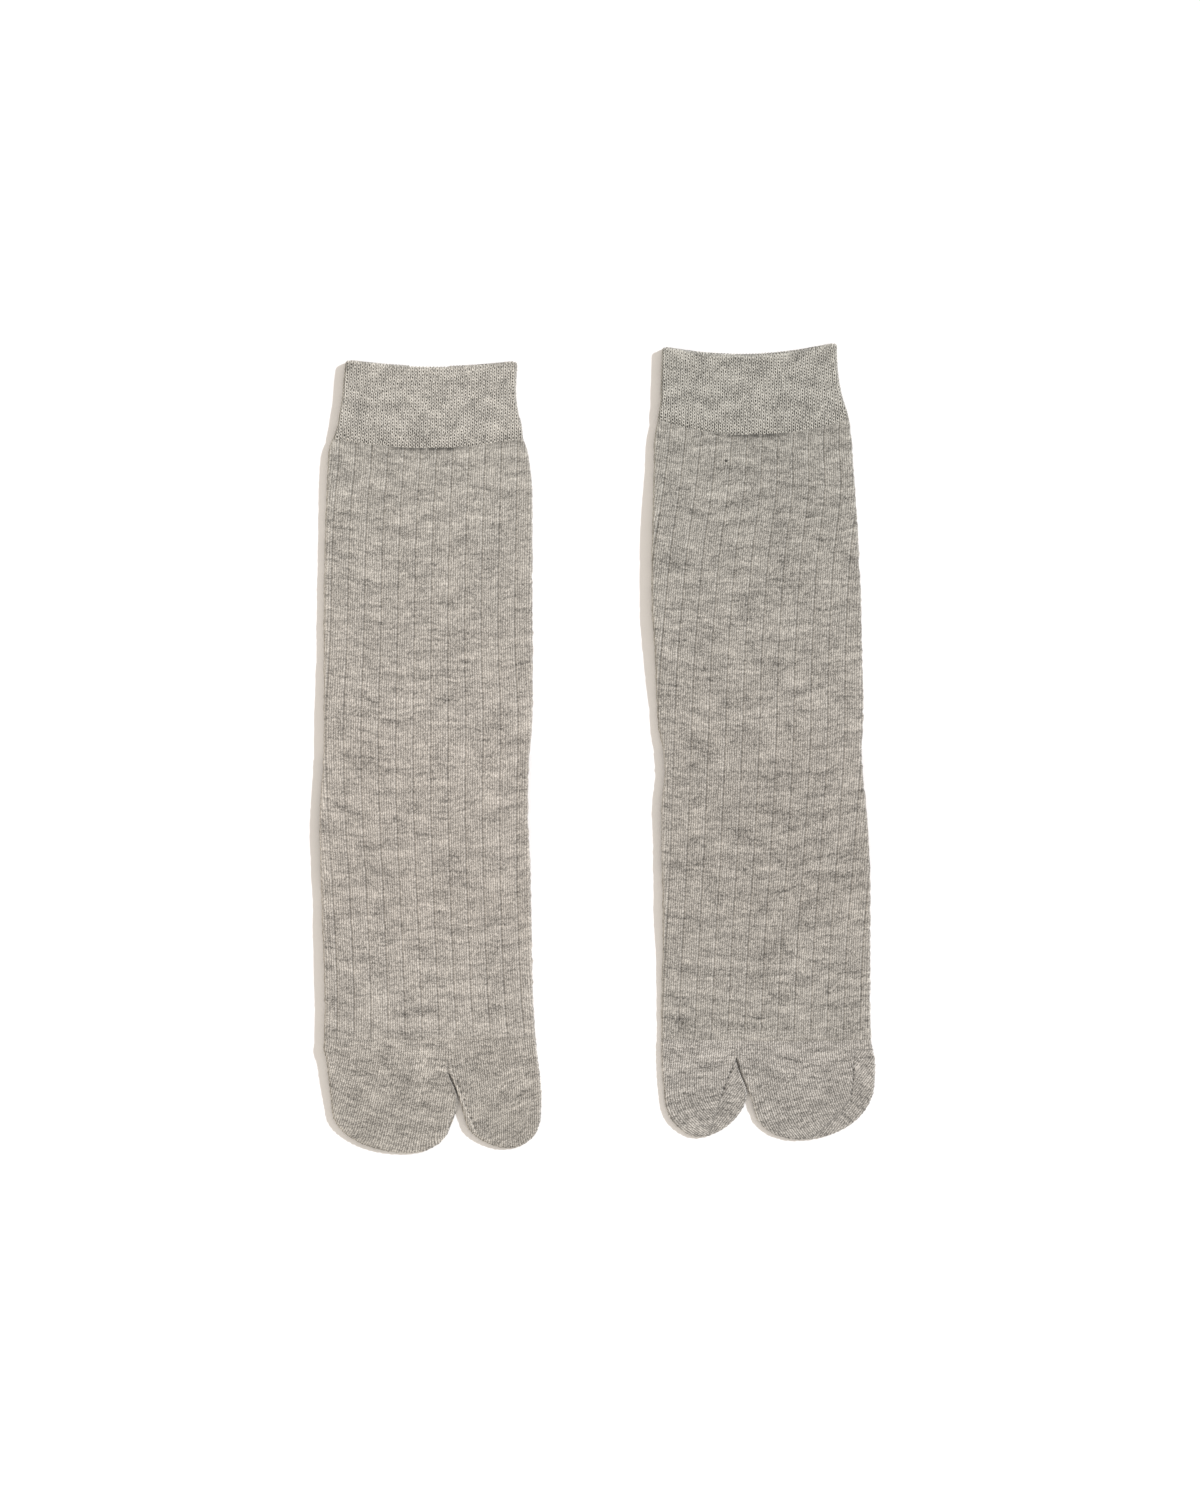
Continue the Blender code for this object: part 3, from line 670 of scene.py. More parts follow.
LOOPS_ROUND = 104
LOOP_ROW = 1.305
CUFF_FINE = 6  # points across a column of loops on the front
CUFF_COARSE = 2
CUFF_HALF = 30  # columns of loops to each side of the middle are in full detail
LINING_ROWS = 10
LINING_SHORT = 1.0  # the lining ends this much higher than the cuff
LINING_SHOW = 0.35  # how much of the relief is left on the way round to the lining
LINKS_DOWN = 64
LINK_PINCH = 0.1  # strands of a link from its column's middle, in columns
LINK_SWELL = 0.18
LINK_SWAY = 0.1
LINK_SWAY_LONG = 4.0
LINK_GAPS = (1.05, 0.4, 0.1, 1.8)  # how open links are, and how much shade is painted in their gaps: mean, spread, least and most
LINK_STRANDS = (1.5, 0.6, 0.2, 3.2)  # and how pale their strands are
DRIFT_WAVE = 0.1  # a column of loops is shifted from the last by a slow wave and a random step
DRIFT_LONG = 4.3
DRIFT_STEP = 0.12
STRAND = 0.11
STRAND_RISE = 0.12
GAP_DEPTH = 0.32
GAP_WIDE = 0.19
GAP_TALL = 0.24
HEM_TALL = 3.0
HEM_LAP = 0.2  # how far the cuff's lower edge lies over the leg
HEM_SLOPE = 6.0  # the cuff thins down to the leg over this stretch
HEM_FALL = CUFF_TOP - LEG_TOP - 0.06
HEM_IN = 0.1
HEM_EDGE_IN = (0.7, 1.4)  # the lower edge turns in by these steps to the lining
HEM_SCALLOP_TALL = 0.6
CORNER = 0.9  # the rim falls this much at its two corners
CORNER_TALL = 2.0
CORNER_POWER = 40
CUFF_RAGGED = 0.6 * RAGGED
HEM_GAP_SHADE = 0.9  # how much stronger the painted shade in the links' gaps is near the lower edge
RIM_PROUD = 0.4
SCALLOP = 0.26
# painted highlight on the cuff's left-hand fold
CUFF_FOLD_HIGHLIGHT = 2.0
NOTCH = 1.0  # how much lower the back of the rim lies for a short stretch
NOTCH_FADE = 12.0
NOTCH_EDGE = 0.6
RIM_HIGHLIGHT = 1.5  # painted highlight on the back of the rim, which the front rim shades
RIM = WELT_WALL / 2
RIM_STEPS = 6


def row_drift(column, seed):
    """Loops in neighbouring columns don't lie level: each column is shifted a little, in rows."""
    steps = DRIFT_WAVE * np.sin(np.arange(LOOPS_ROUND) / DRIFT_LONG + seed)
    steps = steps + np.random.default_rng(seed).normal(0, DRIFT_STEP, LOOPS_ROUND)
    return np.cumsum(steps)[np.mod(np.floor(column + 0.5).astype(int), LOOPS_ROUND)]


def chain_mesh(column, row):
    """How much of a strand and of a gap is at this place: chains of open links side by side."""
    x = np.abs(column - np.round(column))
    y = row - np.round(row)
    strand = bell(x - LINK_PINCH - LINK_SWELL * np.abs(np.cos(math.pi * row)), STRAND)
    return strand, bell(x, GAP_WIDE) * bell(y, GAP_TALL)


def link_strengths(column, row, seed):
    """(gap, strand): how open and how pale each link is."""
    draw = np.random.default_rng(seed)
    size = (LOOPS_ROUND, LINKS_DOWN)
    at = tuple(np.mod(np.round(place).astype(int), n) for place, n in zip((column, row), size))
    return tuple(
        np.clip(draw.normal(mean, spread, size), least, most)[at]
        for mean, spread, least, most in (LINK_GAPS, LINK_STRANDS)
    )


def make_cuff(sock, side, seed, materials):
    bottom = sock.cuff[-1].down
    outer = np.arange(RIM, bottom + HEM_LAP, LOOP_ROW / CUFF_FINE)
    outer_in = HEM_IN * ease((outer - bottom + 1) / (1 + HEM_LAP))
    turn = np.linspace(0, math.pi, RIM_STEPS + 2)[1:-1]
    rim_down = RIM - (RIM + RIM_PROUD) * np.sin(turn)
    rim_in = WELT_WALL * (1 - np.cos(turn)) / 2
    lining = np.linspace(RIM, bottom - LINING_SHORT, LINING_ROWS)
    lining_in = np.full(LINING_ROWS, WELT_WALL)
    edge = [bottom + HEM_LAP, bottom - LINING_SHORT / 2, lining[-1]]
    down = np.concatenate([lining[::-1], rim_down[::-1], outer, edge])
    inset = np.concatenate([lining_in, rim_in[::-1], outer_in, [*HEM_EDGE_IN, WELT_WALL]])
    high = CUFF_TOP - HEM_FALL * np.clip((down - bottom + HEM_SLOPE) / HEM_SLOPE, 0, 1) ** 1.5
    rows = Rows(sock, down, sock.cuff, sock.loops, 0.0, high, inset)
    fine = np.arange(-CUFF_HALF * CUFF_FINE, CUFF_HALF * CUFF_FINE) / CUFF_FINE
    last = (LOOPS_ROUND - CUFF_HALF) * CUFF_COARSE
    coarse = np.arange(CUFF_HALF * CUFF_COARSE, last + 1) / CUFF_COARSE
    columns = np.concatenate([fine, coarse])
    level = (down / LOOP_ROW)[:, None] + row_drift(columns, seed)[None, :]
    column = np.broadcast_to(columns, level.shape)
    column, level = (
        column + LINK_SWAY * waves(column, level, seed + 3, LINK_SWAY_LONG, 4),
        level + LINK_SWAY * waves(column, level, seed + 4, LINK_SWAY_LONG, 4),
    )
    gaps, strands = link_strengths(column, level, seed + 2)
    strand, gap = chain_mesh(column, level)
    is_face = (inset <= HEM_IN) & (down > RIM - 0.01)
    show = np.where(is_face, 1.0, np.where(inset >= WELT_WALL, 0.0, LINING_SHOW))[:, None]
    sink = show * (GAP_DEPTH * gap * np.minimum(gaps, 1) + STRAND_RISE * (1 - strand))
    sink[:, -1] = sink[:, 0]
    wobble = ragged_rows(seed + 1, CUFF_RAGGED, rows, columns, closed=True)
    points = tube(rows, columns, LOOPS_ROUND, sink, wobble)
    x, y, z = (points[:, :, i] for i in range(3))  # views, so changes reach points
    rim_share = bell(down, RIM)[:, None]
    edges = rim_share - bell(down - bottom, HEM_SCALLOP_TALL)[:, None]
    y += SCALLOP * np.cos(2 * math.pi * columns)[None, :] * edges
    by_corner = np.exp(-np.maximum(down, 0) / CORNER_TALL)[:, None]
    y -= CORNER * np.abs(rows.share_across(x)) ** CORNER_POWER * by_corner
    at_back = z < CUFF_TOP / 2
    if sock.notch:
        inside = ease((x - sock.notch[0]) / NOTCH_EDGE + 0.5)
        inside = inside * ease((sock.notch[1] - x) / NOTCH_EDGE + 0.5)
        fall = np.maximum(1 - down / NOTCH_FADE, 0)[:, None]
        y -= np.where(at_back, NOTCH * inside * fall, 0.0)
    points[:, :, 2] = np.maximum(z, FLOOR_GAP)
    hem = bell(bottom - down, HEM_TALL)[:, None]
    # painted shade in the links' gaps, stronger near the lower edge
    holes_and_shade = show * gaps * (1 + HEM_GAP_SHADE * hem)
    tone_and_light = np.maximum(show, 0.5) * strands * (1 + hem)
    # painted highlight on the back of the rim
    tone_and_light = tone_and_light + np.where(at_back, RIM_HIGHLIGHT * rim_share, 0.0)
    # painted highlight on the cuff's left-hand fold, which lies in shade
    tone_and_light = tone_and_light + CUFF_FOLD_HIGHLIGHT * bell(x - rows.left[:, None], FOLD_HIGHLIGHT_WIDE)
    skin = Skin()
    skin.patch(points, np.stack([column, level], -1), WHOLE_MAP, holes_and_shade, tone_and_light)
    name, node = side + "_mesh_cuff", side + "_cuff"
    obj = skin.finish(name, materials["cuff"], sock.place, node)


# ---- Toe ----

TOE_COLUMN = 0.245
TOE_ROW = 0.5
TOE_TUCK = 0.6
TOE_TUCK_IN = 0.3
TOE_TUCK_DOWN = 0.35
TOE_SETTLE = 0.1  # lower than the leg's plain stitches, past the first few rows
TOE_SETTLE_LONG = 8.0
SLIT_ROUND = 0.5  # rounding of the edges of the split at its top
CLUSTER = 1.25
OUTLINE_STEP = 0.2
END_POINTS = 400  # along one half of a pouch's end
SIDE_POINTS = 160
BY_SPLIT = 14.0  # an outline further than this from the sock's sides is the split's
SPLIT_FROM = 8.0  # the split's edges round out to full folds so far past its top
SPLIT_LONG = 10.0
TOE_REACH = 60.0  # more than the toe is long
TOE_RAGGED_LONG = 2.4
FAN = 4.5  # how near the ends the columns of stitches turn to meet the outline squarely
FAN_SHADE = 0.3
SLIT_SHADE = 0.45  # the four-toe pouch is in shade along the split
SLIT_SHADE_WIDE = 1.3
END_FROM = 4.0  # the ends of the toes begin this far past the top of the split
END_SLOPE = 8.0
SLIT_SHADE_TALL = 12.0
SLIT_SHADE_FADE = 6.0
TURN_FROM = 0.16  # columns that run aside faster than this, in columns a row, lose their relief
TURN_SLOPE = 0.2
MARK_JITTER = 0.22
MARK_STRENGTHS = (0.7, 1.15)
HOLE_DEPTH = 0.3
# how strongly shade is painted into the needle holes
HOLE_DARK = 1.7
TOE_BLEND = 0.075  # the toe begins as pale as the leg
TOE_BLEND_LONG = 13.0
STRAND_LONG = 2.3
STRAND_PALE = 1.1
SPLIT_BLEND = 6.0
ROW_LEAN = 0.25  # rows of stitches climb to the right on the swept toes
ROW_LEAN_LONG = 30.0
POUCH_MIDDLES = (-25.0, 17.0)  # where rows of the two pouches of the gored toe lie level
GORE_TURN = 0.81
GORE_TILT = (1 - GORE_TURN**2) ** 0.5
GORE_WALE = 0.93
TOE_PLACES = (  # the front's and the back's on the bake map
    ((0.01, 0.67, 0.99, 0.99), (0.01, 0.01, 0.99, 0.0)),
    ((0.01, 0.34, 0.56, 0.65), (0.01, 0.005, 0.56, 0.315)),
    ((0.58, 0.34, 0.99, 0.65), (0.58, 0.005, 0.99, 0.315)),
)


def pouch_line(edge, tip, roundness):
    """The rounded end of a pouch from this edge to its tip, as (across, down)."""
    last = edge[-1]
    turn = np.linspace(0, math.pi / 2, END_POINTS)
    share = np.sin(turn) ** (2 / roundness)
    reach = np.cos(turn) ** (2 / roundness)
    reach[-1] = 0.0
    across = tip.across + (last.across - tip.across) * reach
    return np.stack([across, last.down + (tip.down - last.down) * share], -1)


def pouch_ends(pouch):
    """(left table, right table, end line from left to right) of a pouch."""
    outer = pouch_line(pouch.outer, pouch.tip, pouch.outer_round)
    split = pouch_line(pouch.split, pouch.tip, pouch.split_round)
    if pouch.outer[0].across < pouch.split[0].across:
        return pouch.outer, pouch.split, np.concatenate([outer, split[-2::-1]])
    return pouch.split, pouch.outer, np.concatenate([split, outer[-2::-1]])


def resample(line, count):
    """Points along a line, spaced half by the distance across and half by the distance along."""
    step = np.diff(line, axis=0)
    length = np.hypot(step[:, 0], step[:, 1])
    wide = np.abs(step[:, 0])
    measure = 0.5 * length / length.sum() + 0.5 * wide / wide.sum()
    at = np.concatenate([[0], np.cumsum(measure)])
    want = np.linspace(0, 1, count)
    return np.stack([np.interp(want, at, line[:, 0]), np.interp(want, at, line[:, 1])], -1)


def side_line(edges, shares):
    """(across, down) at these shares of the way down a pouch's side."""
    first, last = edges[0].down, edges[-1].down
    down = first + (last - first) * shares
    return np.stack([smooth(edges, "across", down), down], -1)


def pouch_grid(pouch, columns, rows):
    """(across, down) of a pouch's grid: a Coons patch between its top, its sides and its end."""
    left, right, end = pouch_ends(pouch)
    t = 1 - (1 - np.linspace(0, 1, rows)) ** CLUSTER
    s = np.linspace(0, 1, columns)
    bottom = resample(end, columns)
    side_left = side_line(left, t)
    side_right = side_line(right, t)
    bottom[0], bottom[-1] = side_left[-1], side_right[-1]
    top = side_left[0] + (side_right[0] - side_left[0]) * s[:, None]
    t = t[:, None, None]
    s = s[None, :, None]
    ruled = (1 - t) * top[None] + t * bottom[None]
    ruled = ruled + (1 - s) * side_left[:, None] + s * side_right[:, None]
    corners = (1 - s) * (1 - t) * top[0] + s * (1 - t) * top[-1]
    return ruled - corners - (1 - s) * t * bottom[0] - s * t * bottom[-1]


def outline_of(sock):
    """(across, down, rounding) along the toe: down one side, round both pouches, up the other."""
    down = np.arange(sock.toe_start - TOE_TUCK, sock.apex.down, OUTLINE_STEP)
    side_left, side_right = (
        np.stack([smooth(sock.plain, name, down), down], -1) for name in ("left", "right")
    )
    pieces = [side_left]
    shares = np.linspace(0, 1, SIDE_POINTS)
    for pouch in sock.pouches:
        left, right, end = pouch_ends(pouch)
        pieces += [side_line(left, shares), end, side_line(right, shares)[::-1]]
    line = np.concatenate([*pieces, side_right[::-1]])
    near = ease((line[:, 1] - sock.apex.down - SPLIT_FROM) / SPLIT_LONG)
    last = sock.plain[-1]
    from_sides = np.minimum(np.abs(line[:, 0] - last.left), np.abs(line[:, 0] - last.right))
    by_split = SLIT_ROUND + (FOLD - SLIT_ROUND) * near
    rounding = np.where(from_sides > BY_SPLIT, by_split, FOLD)
    return np.concatenate([line, rounding[:, None]], 1)


def nearest_edge(grid, outline):
    """For each point its distance from the outline and, from the outline's nearest place, the
    rounding and the outward direction's two parts."""
    flat = grid.reshape(-1, 2)
    best = np.full(len(flat), np.inf)
    which = np.zeros(len(flat), int)
    for i, (x, down, rounding) in enumerate(outline):
        square = ((flat[:, 0] - x) ** 2 + (flat[:, 1] - down) ** 2) / rounding**2
        closer = square < best
        best[closer] = square[closer]
        which[closer] = i
    step = np.gradient(outline[:, :2], axis=0)
    step = step / np.maximum(np.hypot(step[:, 0], step[:, 1]), 1e-6)[:, None]
    rounding = outline[which, 2]
    found = (np.sqrt(best) * rounding, rounding, -step[which, 1], step[which, 0])
    return tuple(values.reshape(grid.shape[:2]) for values in found)


def along_line(line, count, draw):
    """Places along a seam line, a little unevenly spaced: (across, down, direction's two parts)."""
    line = np.array([(edge.across, edge.down) for edge in line])
    step = np.diff(line, axis=0)
    at = np.concatenate([[0], np.cumsum(np.hypot(step[:, 0], step[:, 1]))])
    jitter = draw.uniform(-MARK_JITTER, MARK_JITTER, count)
    want = (np.arange(count) + 0.5 + jitter) / count * at[-1]
    places = [np.interp(want, at, line[:, i]) for i in range(2)]
    piece = np.clip(np.searchsorted(at, want) - 1, 0, len(step) - 1)
    towards = step[piece] / np.hypot(step[piece, 0], step[piece, 1])[:, None]
    return zip(places[0], places[1], towards[:, 0], towards[:, 1])


def seam_marks(seams, x, down, seed):
    """(holes_and_shade, tone_and_light) of the toe's joins: needle holes with painted shade and
    pale slanted strands.
    """
    draw = np.random.default_rng(seed)
    holes_and_shade, tone_and_light = np.zeros_like(x), np.zeros_like(x)
    for seam in seams:
        for count, marks, long in ((seam.holes, holes_and_shade, 1.0), (seam.strands, tone_and_light, STRAND_LONG)):
            for at_x, at_down, run_x, run_down in along_line(seam.line, count, draw):
                angle = math.atan2(run_down, run_x) + seam.lean
                strength = draw.uniform(*MARK_STRENGTHS)
                away_x, away_down = x - at_x, down - at_down
                lengthwise = away_x * math.cos(angle) + away_down * math.sin(angle)
                sideways = away_down * math.cos(angle) - away_x * math.sin(angle)
                size = seam.size * strength
                square = (lengthwise / (size * long)) ** 2 + (sideways / size) ** 2
                np.maximum(marks, strength * np.exp(-square), out=marks)
    return np.clip(HOLE_DARK * holes_and_shade, 0, 1), STRAND_PALE * tone_and_light


def at_end(sock, down, out_x):
    """1 round the ends of the toes and 0 along their steep sides."""
    past = ease((down - sock.apex.down - END_FROM) / END_SLOPE)
    return past * (1 - ease((np.abs(out_x) - 0.5) / 0.4))


def column_shift(sock, x, down):
    """How far columns of stitches have run aside since the toe's start."""
    split = across_at(sock.pouches[0].split, down)
    past_split = ease((x - split) / SPLIT_BLEND + 0.5)
    past_split = np.where(down > sock.apex.down, (x > split).astype(float), past_split)
    stations = np.arange(sock.toe_start, sock.toe_start + TOE_REACH, OUTLINE_STEP)
    shifts = {}
    for name in Sweep._fields[1:]:
        slopes = [getattr(row, name) for row in sock.sweep]
        slopes = np.interp(stations, [row.down for row in sock.sweep], slopes)
        shifts[name] = np.interp(down, stations, np.cumsum(slopes) * OUTLINE_STEP)
    to_left = np.clip((split - x) / (split - sock.plain[-1].left), 0, 1)
    to_right = np.clip((x - split) / (sock.plain[-1].right - split), 0, 1)
    on_left = shifts["split_left"] + (shifts["left"] - shifts["split_left"]) * to_left
    on_right = shifts["split_right"] + (shifts["right"] - shifts["split_right"]) * to_right
    return on_left + (on_right - on_left) * past_split


def toe_knit(sock, x, down, depth, out_x, across, seed):
    """(wale, course) where stitches sweep aside, fan out at the ends and turn in gores."""
    sag = COURSE_SAG + (sock.sag - COURSE_SAG) * ease((down - sock.toe_start) / ROW_LEAN_LONG)
    course = course_at(x, -down, across, sag, seed)
    straight = x - sock.ribs[-1].middle - column_shift(sock, x, down)
    if sock.gores:
        middle = np.where(x < sock.apex.across, *POUCH_MIDDLES)
        away = np.where(down < sock.apex.down, x, x - middle)
        lean = ROW_LEAN * ease((down - sock.toe_start - 4) / ROW_LEAN_LONG)
        course = course + away * lean / COURSE
    else:
        fan = np.maximum(FAN - depth, 0) ** 2 / (2 * FAN) * at_end(sock, down, out_x)
        straight = straight - out_x * fan
    wale = straight / TOE_WALE
    split = across_at(sock.pouches[0].split, down)
    for line, beyond in zip(sock.gores, (split + 0.1, np.inf)):
        in_gore = (x > across_at(line, down)) & (x < beyond) & (down > line[0].down)
        wale = np.where(in_gore, (GORE_TURN * x + GORE_TILT * down) / GORE_WALE, wale)
        course = np.where(in_gore, (GORE_TURN * down - GORE_TILT * x) / COURSE, course)
    return wale, course


def toe_grids(sock):
    """(across, down) grids of the plain stretch, the left pouch and the right pouch."""
    split = sock.apex.across
    count_left = round((split - sock.plain[-1].left) / TOE_COLUMN)
    count_right = round((sock.plain[-1].right - split) / TOE_COLUMN)
    start = sock.toe_start - TOE_TUCK
    down = np.linspace(start, sock.apex.down, round((sock.apex.down - start) / TOE_ROW))[:, None]
    tuck = TOE_TUCK_IN * (1 - ease((down - start) / TOE_TUCK))
    left = smooth(sock.plain, "left", down) + tuck
    right = smooth(sock.plain, "right", down) - tuck
    left_part = left + (split - left) * np.linspace(0, 1, count_left + 1)[None, :]
    right_part = split + (right - split) * np.linspace(0, 1, count_right + 1)[None, 1:]
    across = np.concatenate([left_part, right_part], 1)
    plain = np.stack([across, np.broadcast_to(down, across.shape)], -1)
    rows = round((sock.pouches[0].tip.down - sock.apex.down) / TOE_ROW)
    counts = (count_left + 1, count_right + 1)
    return [plain] + [pouch_grid(*pouch, rows) for pouch in zip(sock.pouches, counts)]


def make_toe(sock, side, seed, materials):
    grids = toe_grids(sock)
    split_column = grids[1].shape[1] - 1
    outline = outline_of(sock)
    skin = Skin()
    four_toes = 2 if sock.apex.across < 0 else 1
    last = sock.plain[-1]
    middle = TOE_TOP / 2
    for number, (grid, (front_place, back_place)) in enumerate(zip(grids, TOE_PLACES)):
        depth, rounding, out_x, out_down = nearest_edge(grid, outline)
        x, down = grid[:, :, 0], grid[:, :, 1]
        past = down - sock.toe_start
        near = np.clip(depth / rounding, 0, 1)
        # Front and back meet all along the outline, also at the top of the split.
        near[:, [0, -1]] = 0.0
        near[-1, slice(None) if number else split_column] = 0.0
        bulge = (1 - (1 - near) ** SQUARENESS) ** (1 / SQUARENESS)
        u = (2 * x - last.left - last.right) / (last.right - last.left)
        top = TOE_TOP + HOLLOW_DOME * np.maximum(0, 1 - u**2) * ease(near / 3)
        top = top + RIB_RISE - PLAIN_RISE - TOE_SETTLE * ease(past / TOE_SETTLE_LONG)
        top = top - TOE_TUCK_DOWN * (1 - ease((past + TOE_TUCK) / TOE_TUCK))
        top = top + side_rise(sock, down, TOE_TOP, u) + swell(x, -down, seed)
        wale, course = toe_knit(sock, x, down, depth, out_x, u, seed)
        ditch = ditch_at(wale)
        holes, tone_and_light = seam_marks(sock.seams, x, down, seed + 11)
        ends = (1 - ease(depth / FAN)) * at_end(sock, down, out_x)
        holes_and_shade = np.maximum(holes, FAN_SHADE * ends * ditch)
        if number == four_toes:
            below = ease((down - sock.apex.down - SLIT_SHADE_TALL) / SLIT_SHADE_FADE)
            slit = SLIT_SHADE * bell(depth, SLIT_SHADE_WIDE) * (1 - below)
            holes_and_shade = np.maximum(holes_and_shade, slit * (rounding < 0.6 * FOLD))
        folded = (rounding - SLIT_ROUND) / (FOLD - SLIT_ROUND)
        # painted highlight on the pouches' left-hand folds, which lie in shade
        painted_fold_light = FOLD_HIGHLIGHT * bell(depth, FOLD_HIGHLIGHT_WIDE) * np.clip(-out_x, 0, 1)
        tone_and_light = np.maximum(tone_and_light, painted_fold_light * folded) + soft_shades(sock, x, down)
        tone_and_light = tone_and_light + TOE_BLEND * (1 - ease(past / TOE_BLEND_LONG))
        raggedness = RAGGED * waves(x, down, seed + 9, TOE_RAGGED_LONG, 3) * (1 - near) * folded
        x = x + raggedness * out_x
        y = -(down + raggedness * out_down)
        turned = np.abs(np.gradient(wale, axis=0))
        sink = WALE_DEPTH * ditch * near * (1 - ease((turned - TURN_FROM) / TURN_SLOPE))
        sink = sink + HOLE_DEPTH * holes * np.minimum(3 * near, 1)
        high = middle + (top - middle) * bulge - sink
        if number:
            high[0] = joined[number - 1]
        else:
            joined = high[-1, : split_column + 1], high[-1, split_column:]
        low = middle - (middle - FLOOR_GAP) * bulge
        knit = np.stack([wale, course], -1)
        skin.patch(np.stack([x, y, high], -1), knit, front_place, holes_and_shade, tone_and_light)
        skin.patch(np.stack([x, y, low], -1), knit, back_place, flip=True)
    name, node = side + "_tabi_toe", side + "_toe_pouches"
    obj = skin.finish(name, materials["toe"], sock.place, node)


# ---- Heel pocket, folded flat under the sole ----

HEEL_ROWS = 26
HEEL_COLUMNS = 72
HEEL_EDGE = 14  # the power of its rounded edge: the higher, the narrower
HEEL_TIP = 0.02  # share of its width that is left at the tip


def make_heel(sock, side, materials):
    share = np.sin(np.linspace(0, math.pi / 2, HEEL_ROWS))
    length = sock.heel_end - sock.gore
    down = sock.gore + length * share
    narrow = np.maximum(1 - share**HEEL_ROUND, 0) ** (1 / HEEL_ROUND)
    left = smooth(sock.leg, "left", down)
    right = smooth(sock.leg, "right", down)
    half = ((right - left) / 2 - HEEL_INSET) * np.maximum(narrow, HEEL_TIP)
    s = np.sin(np.linspace(-math.pi / 2, math.pi / 2, HEEL_COLUMNS))
    x = ((left + right) / 2)[:, None] + half[:, None] * s[None, :]
    y = np.broadcast_to(-down[:, None], x.shape)
    middle = HEEL_THICKNESS / 2
    round_off = np.sqrt(np.clip(1 - np.abs(s) ** HEEL_EDGE, 0, 1))[None, :]
    round_off = round_off * np.sqrt(np.clip(1 - share**HEEL_EDGE, 0, 1))[:, None]
    bulge = (middle - FLOOR_GAP) * round_off
    knit = np.stack([x / TOE_WALE, -y / COURSE], -1)
    skin = Skin()
    skin.patch(np.stack([x, y, middle + bulge], -1), knit, (0.01, 0.51, 0.99, 0.99))
    skin.patch(np.stack([x, y, middle - bulge], -1), knit, (0.01, 0.01, 0.99, 0.49), flip=True)
    name, node = side + "_heel", side + "_heel_pocket"
    obj = skin.finish(name, materials["heel"], sock.place, node)


# ---- Shader groups ----

WARM_LENGTH = 0.068  # metres along the instep with the warmest tint
WARM_TO_CUFF = 0.13
WARM_TO_TOES = 0.16
GRAINS_DOWN = 1.9  # yarn shades change this often down one stitch
COLUMN_STAGGER = 0.2  # how unevenly the dashes of neighbouring columns begin
STITCH_LEAN = 1.1  # courses that a stitch's leg climbs from its column's middle to the side
APART = 3.71  # neighbouring columns take their noise from places this far apart
BEND = 3.2  # how many courses the dashes of one row wander up and down
BEND_RATES = (0.07, 0.04)  # noise rates per column and per course, here and below
COLUMN_DRIFT = 0.07
STREAK_RATES = (0.1, 0.55)
PATCH_RATES = (0.06, 0.16)
PATCH_STAGGER = 0.12
YARN_ROUGH = 0.6
STITCH_WAVE = (0.35, 0.65)  # how far a stitch's height swings, and about what
DITCH_SHARP = 2.5
DITCH_RATES = (0.12, 1.3)  # of the slow and the quick unevenness down a ditch
DITCH_UNEVEN = (0.8, 0.3)
DITCH_USUAL = 0.82
GROOVE_RATES = (0.35, 0.03)
GROOVE_RIBS = 1.7  # neighbouring ribs take their slow noise from places this far apart
GROOVE_UNEVEN = (0.35, 0.4)
GROOVE_USUAL = 0.85
BETWEEN_CHAINS = 0.13
FUZZ_RATES = (5.0, 3.0)

GROUPS = {}


class Wires:
    """Adds nodes to a tree and links them."""

    def __init__(self, tree):
        self.tree = tree
        self.column = 0

    def node(self, kind, **settings):
        node = self.tree.nodes.new(kind)
        for name, value in settings.items():
            setattr(node, name, value)
        node.location = (self.column, 0)
        self.column += 180
        return node

    def feed(self, socket, value):
        if isinstance(value, bpy.types.NodeSocket):
            self.tree.links.new(value, socket)
        else:
            socket.default_value = value

    def math(self, operation, *values, clamp=False):
        node = self.node("ShaderNodeMath", operation=operation, use_clamp=clamp)
        for socket, value in zip(node.inputs, values):
            self.feed(socket, value)
        return node.outputs[0]

    def times(self, first, second, clamp=False):
        return self.math("MULTIPLY", first, second, clamp=clamp)

    def scaled(self, value, factor, added, clamp=False):
        """value * factor + added."""
        return self.math("MULTIPLY_ADD", value, factor, added, clamp=clamp)

    def minus(self, first, second, clamp=False):
        return self.math("SUBTRACT", first, second, clamp=clamp)

    def from_middle(self, wale):
        """How far a place is from the middle of its column: 0 to 0.5."""
        return self.math("ABSOLUTE", self.minus(self.math("FRACT", wale), 0.5))

    def peak(self, value, width):
        """1 where value is 0, falling away evenly to both sides."""
        square = self.math("POWER", self.math("DIVIDE", value, width), 2.0)
        return self.math("EXPONENT", self.times(square, -1.0))

    def join(self, x, y, z=0.0):
        node = self.node("ShaderNodeCombineXYZ")
        for socket, value in zip(node.inputs, (x, y, z)):
            self.feed(socket, value)
        return node.outputs[0]

    def noise(self, vector, detail=2.0, roughness=0.5):
        """About -1 to 1."""
        node = self.node("ShaderNodeTexNoise", noise_dimensions="3D")
        inputs = {"Vector": vector, "Scale": 1.0, "Detail": detail, "Roughness": roughness}
        for label, value in inputs.items():
            self.feed(node.inputs[label], value)
        return self.scaled(node.outputs["Fac"], 2.0, -1.0)

    def grains(self, vector):
        """Even random values from -1 to 1, one for each whole-number cell."""
        node = self.node("ShaderNodeTexWhiteNoise", noise_dimensions="3D")
        self.feed(node.inputs["Vector"], vector)
        return self.scaled(node.outputs["Value"], 2.0, -1.0)

    def blend(self, share, first, second, way="MIX"):
        node = self.node("ShaderNodeMix", data_type="RGBA", blend_type=way)
        for label, value in (("Factor", share), ("A", first), ("B", second)):
            self.feed(node.inputs[label], value)
        return node.outputs["Result"]


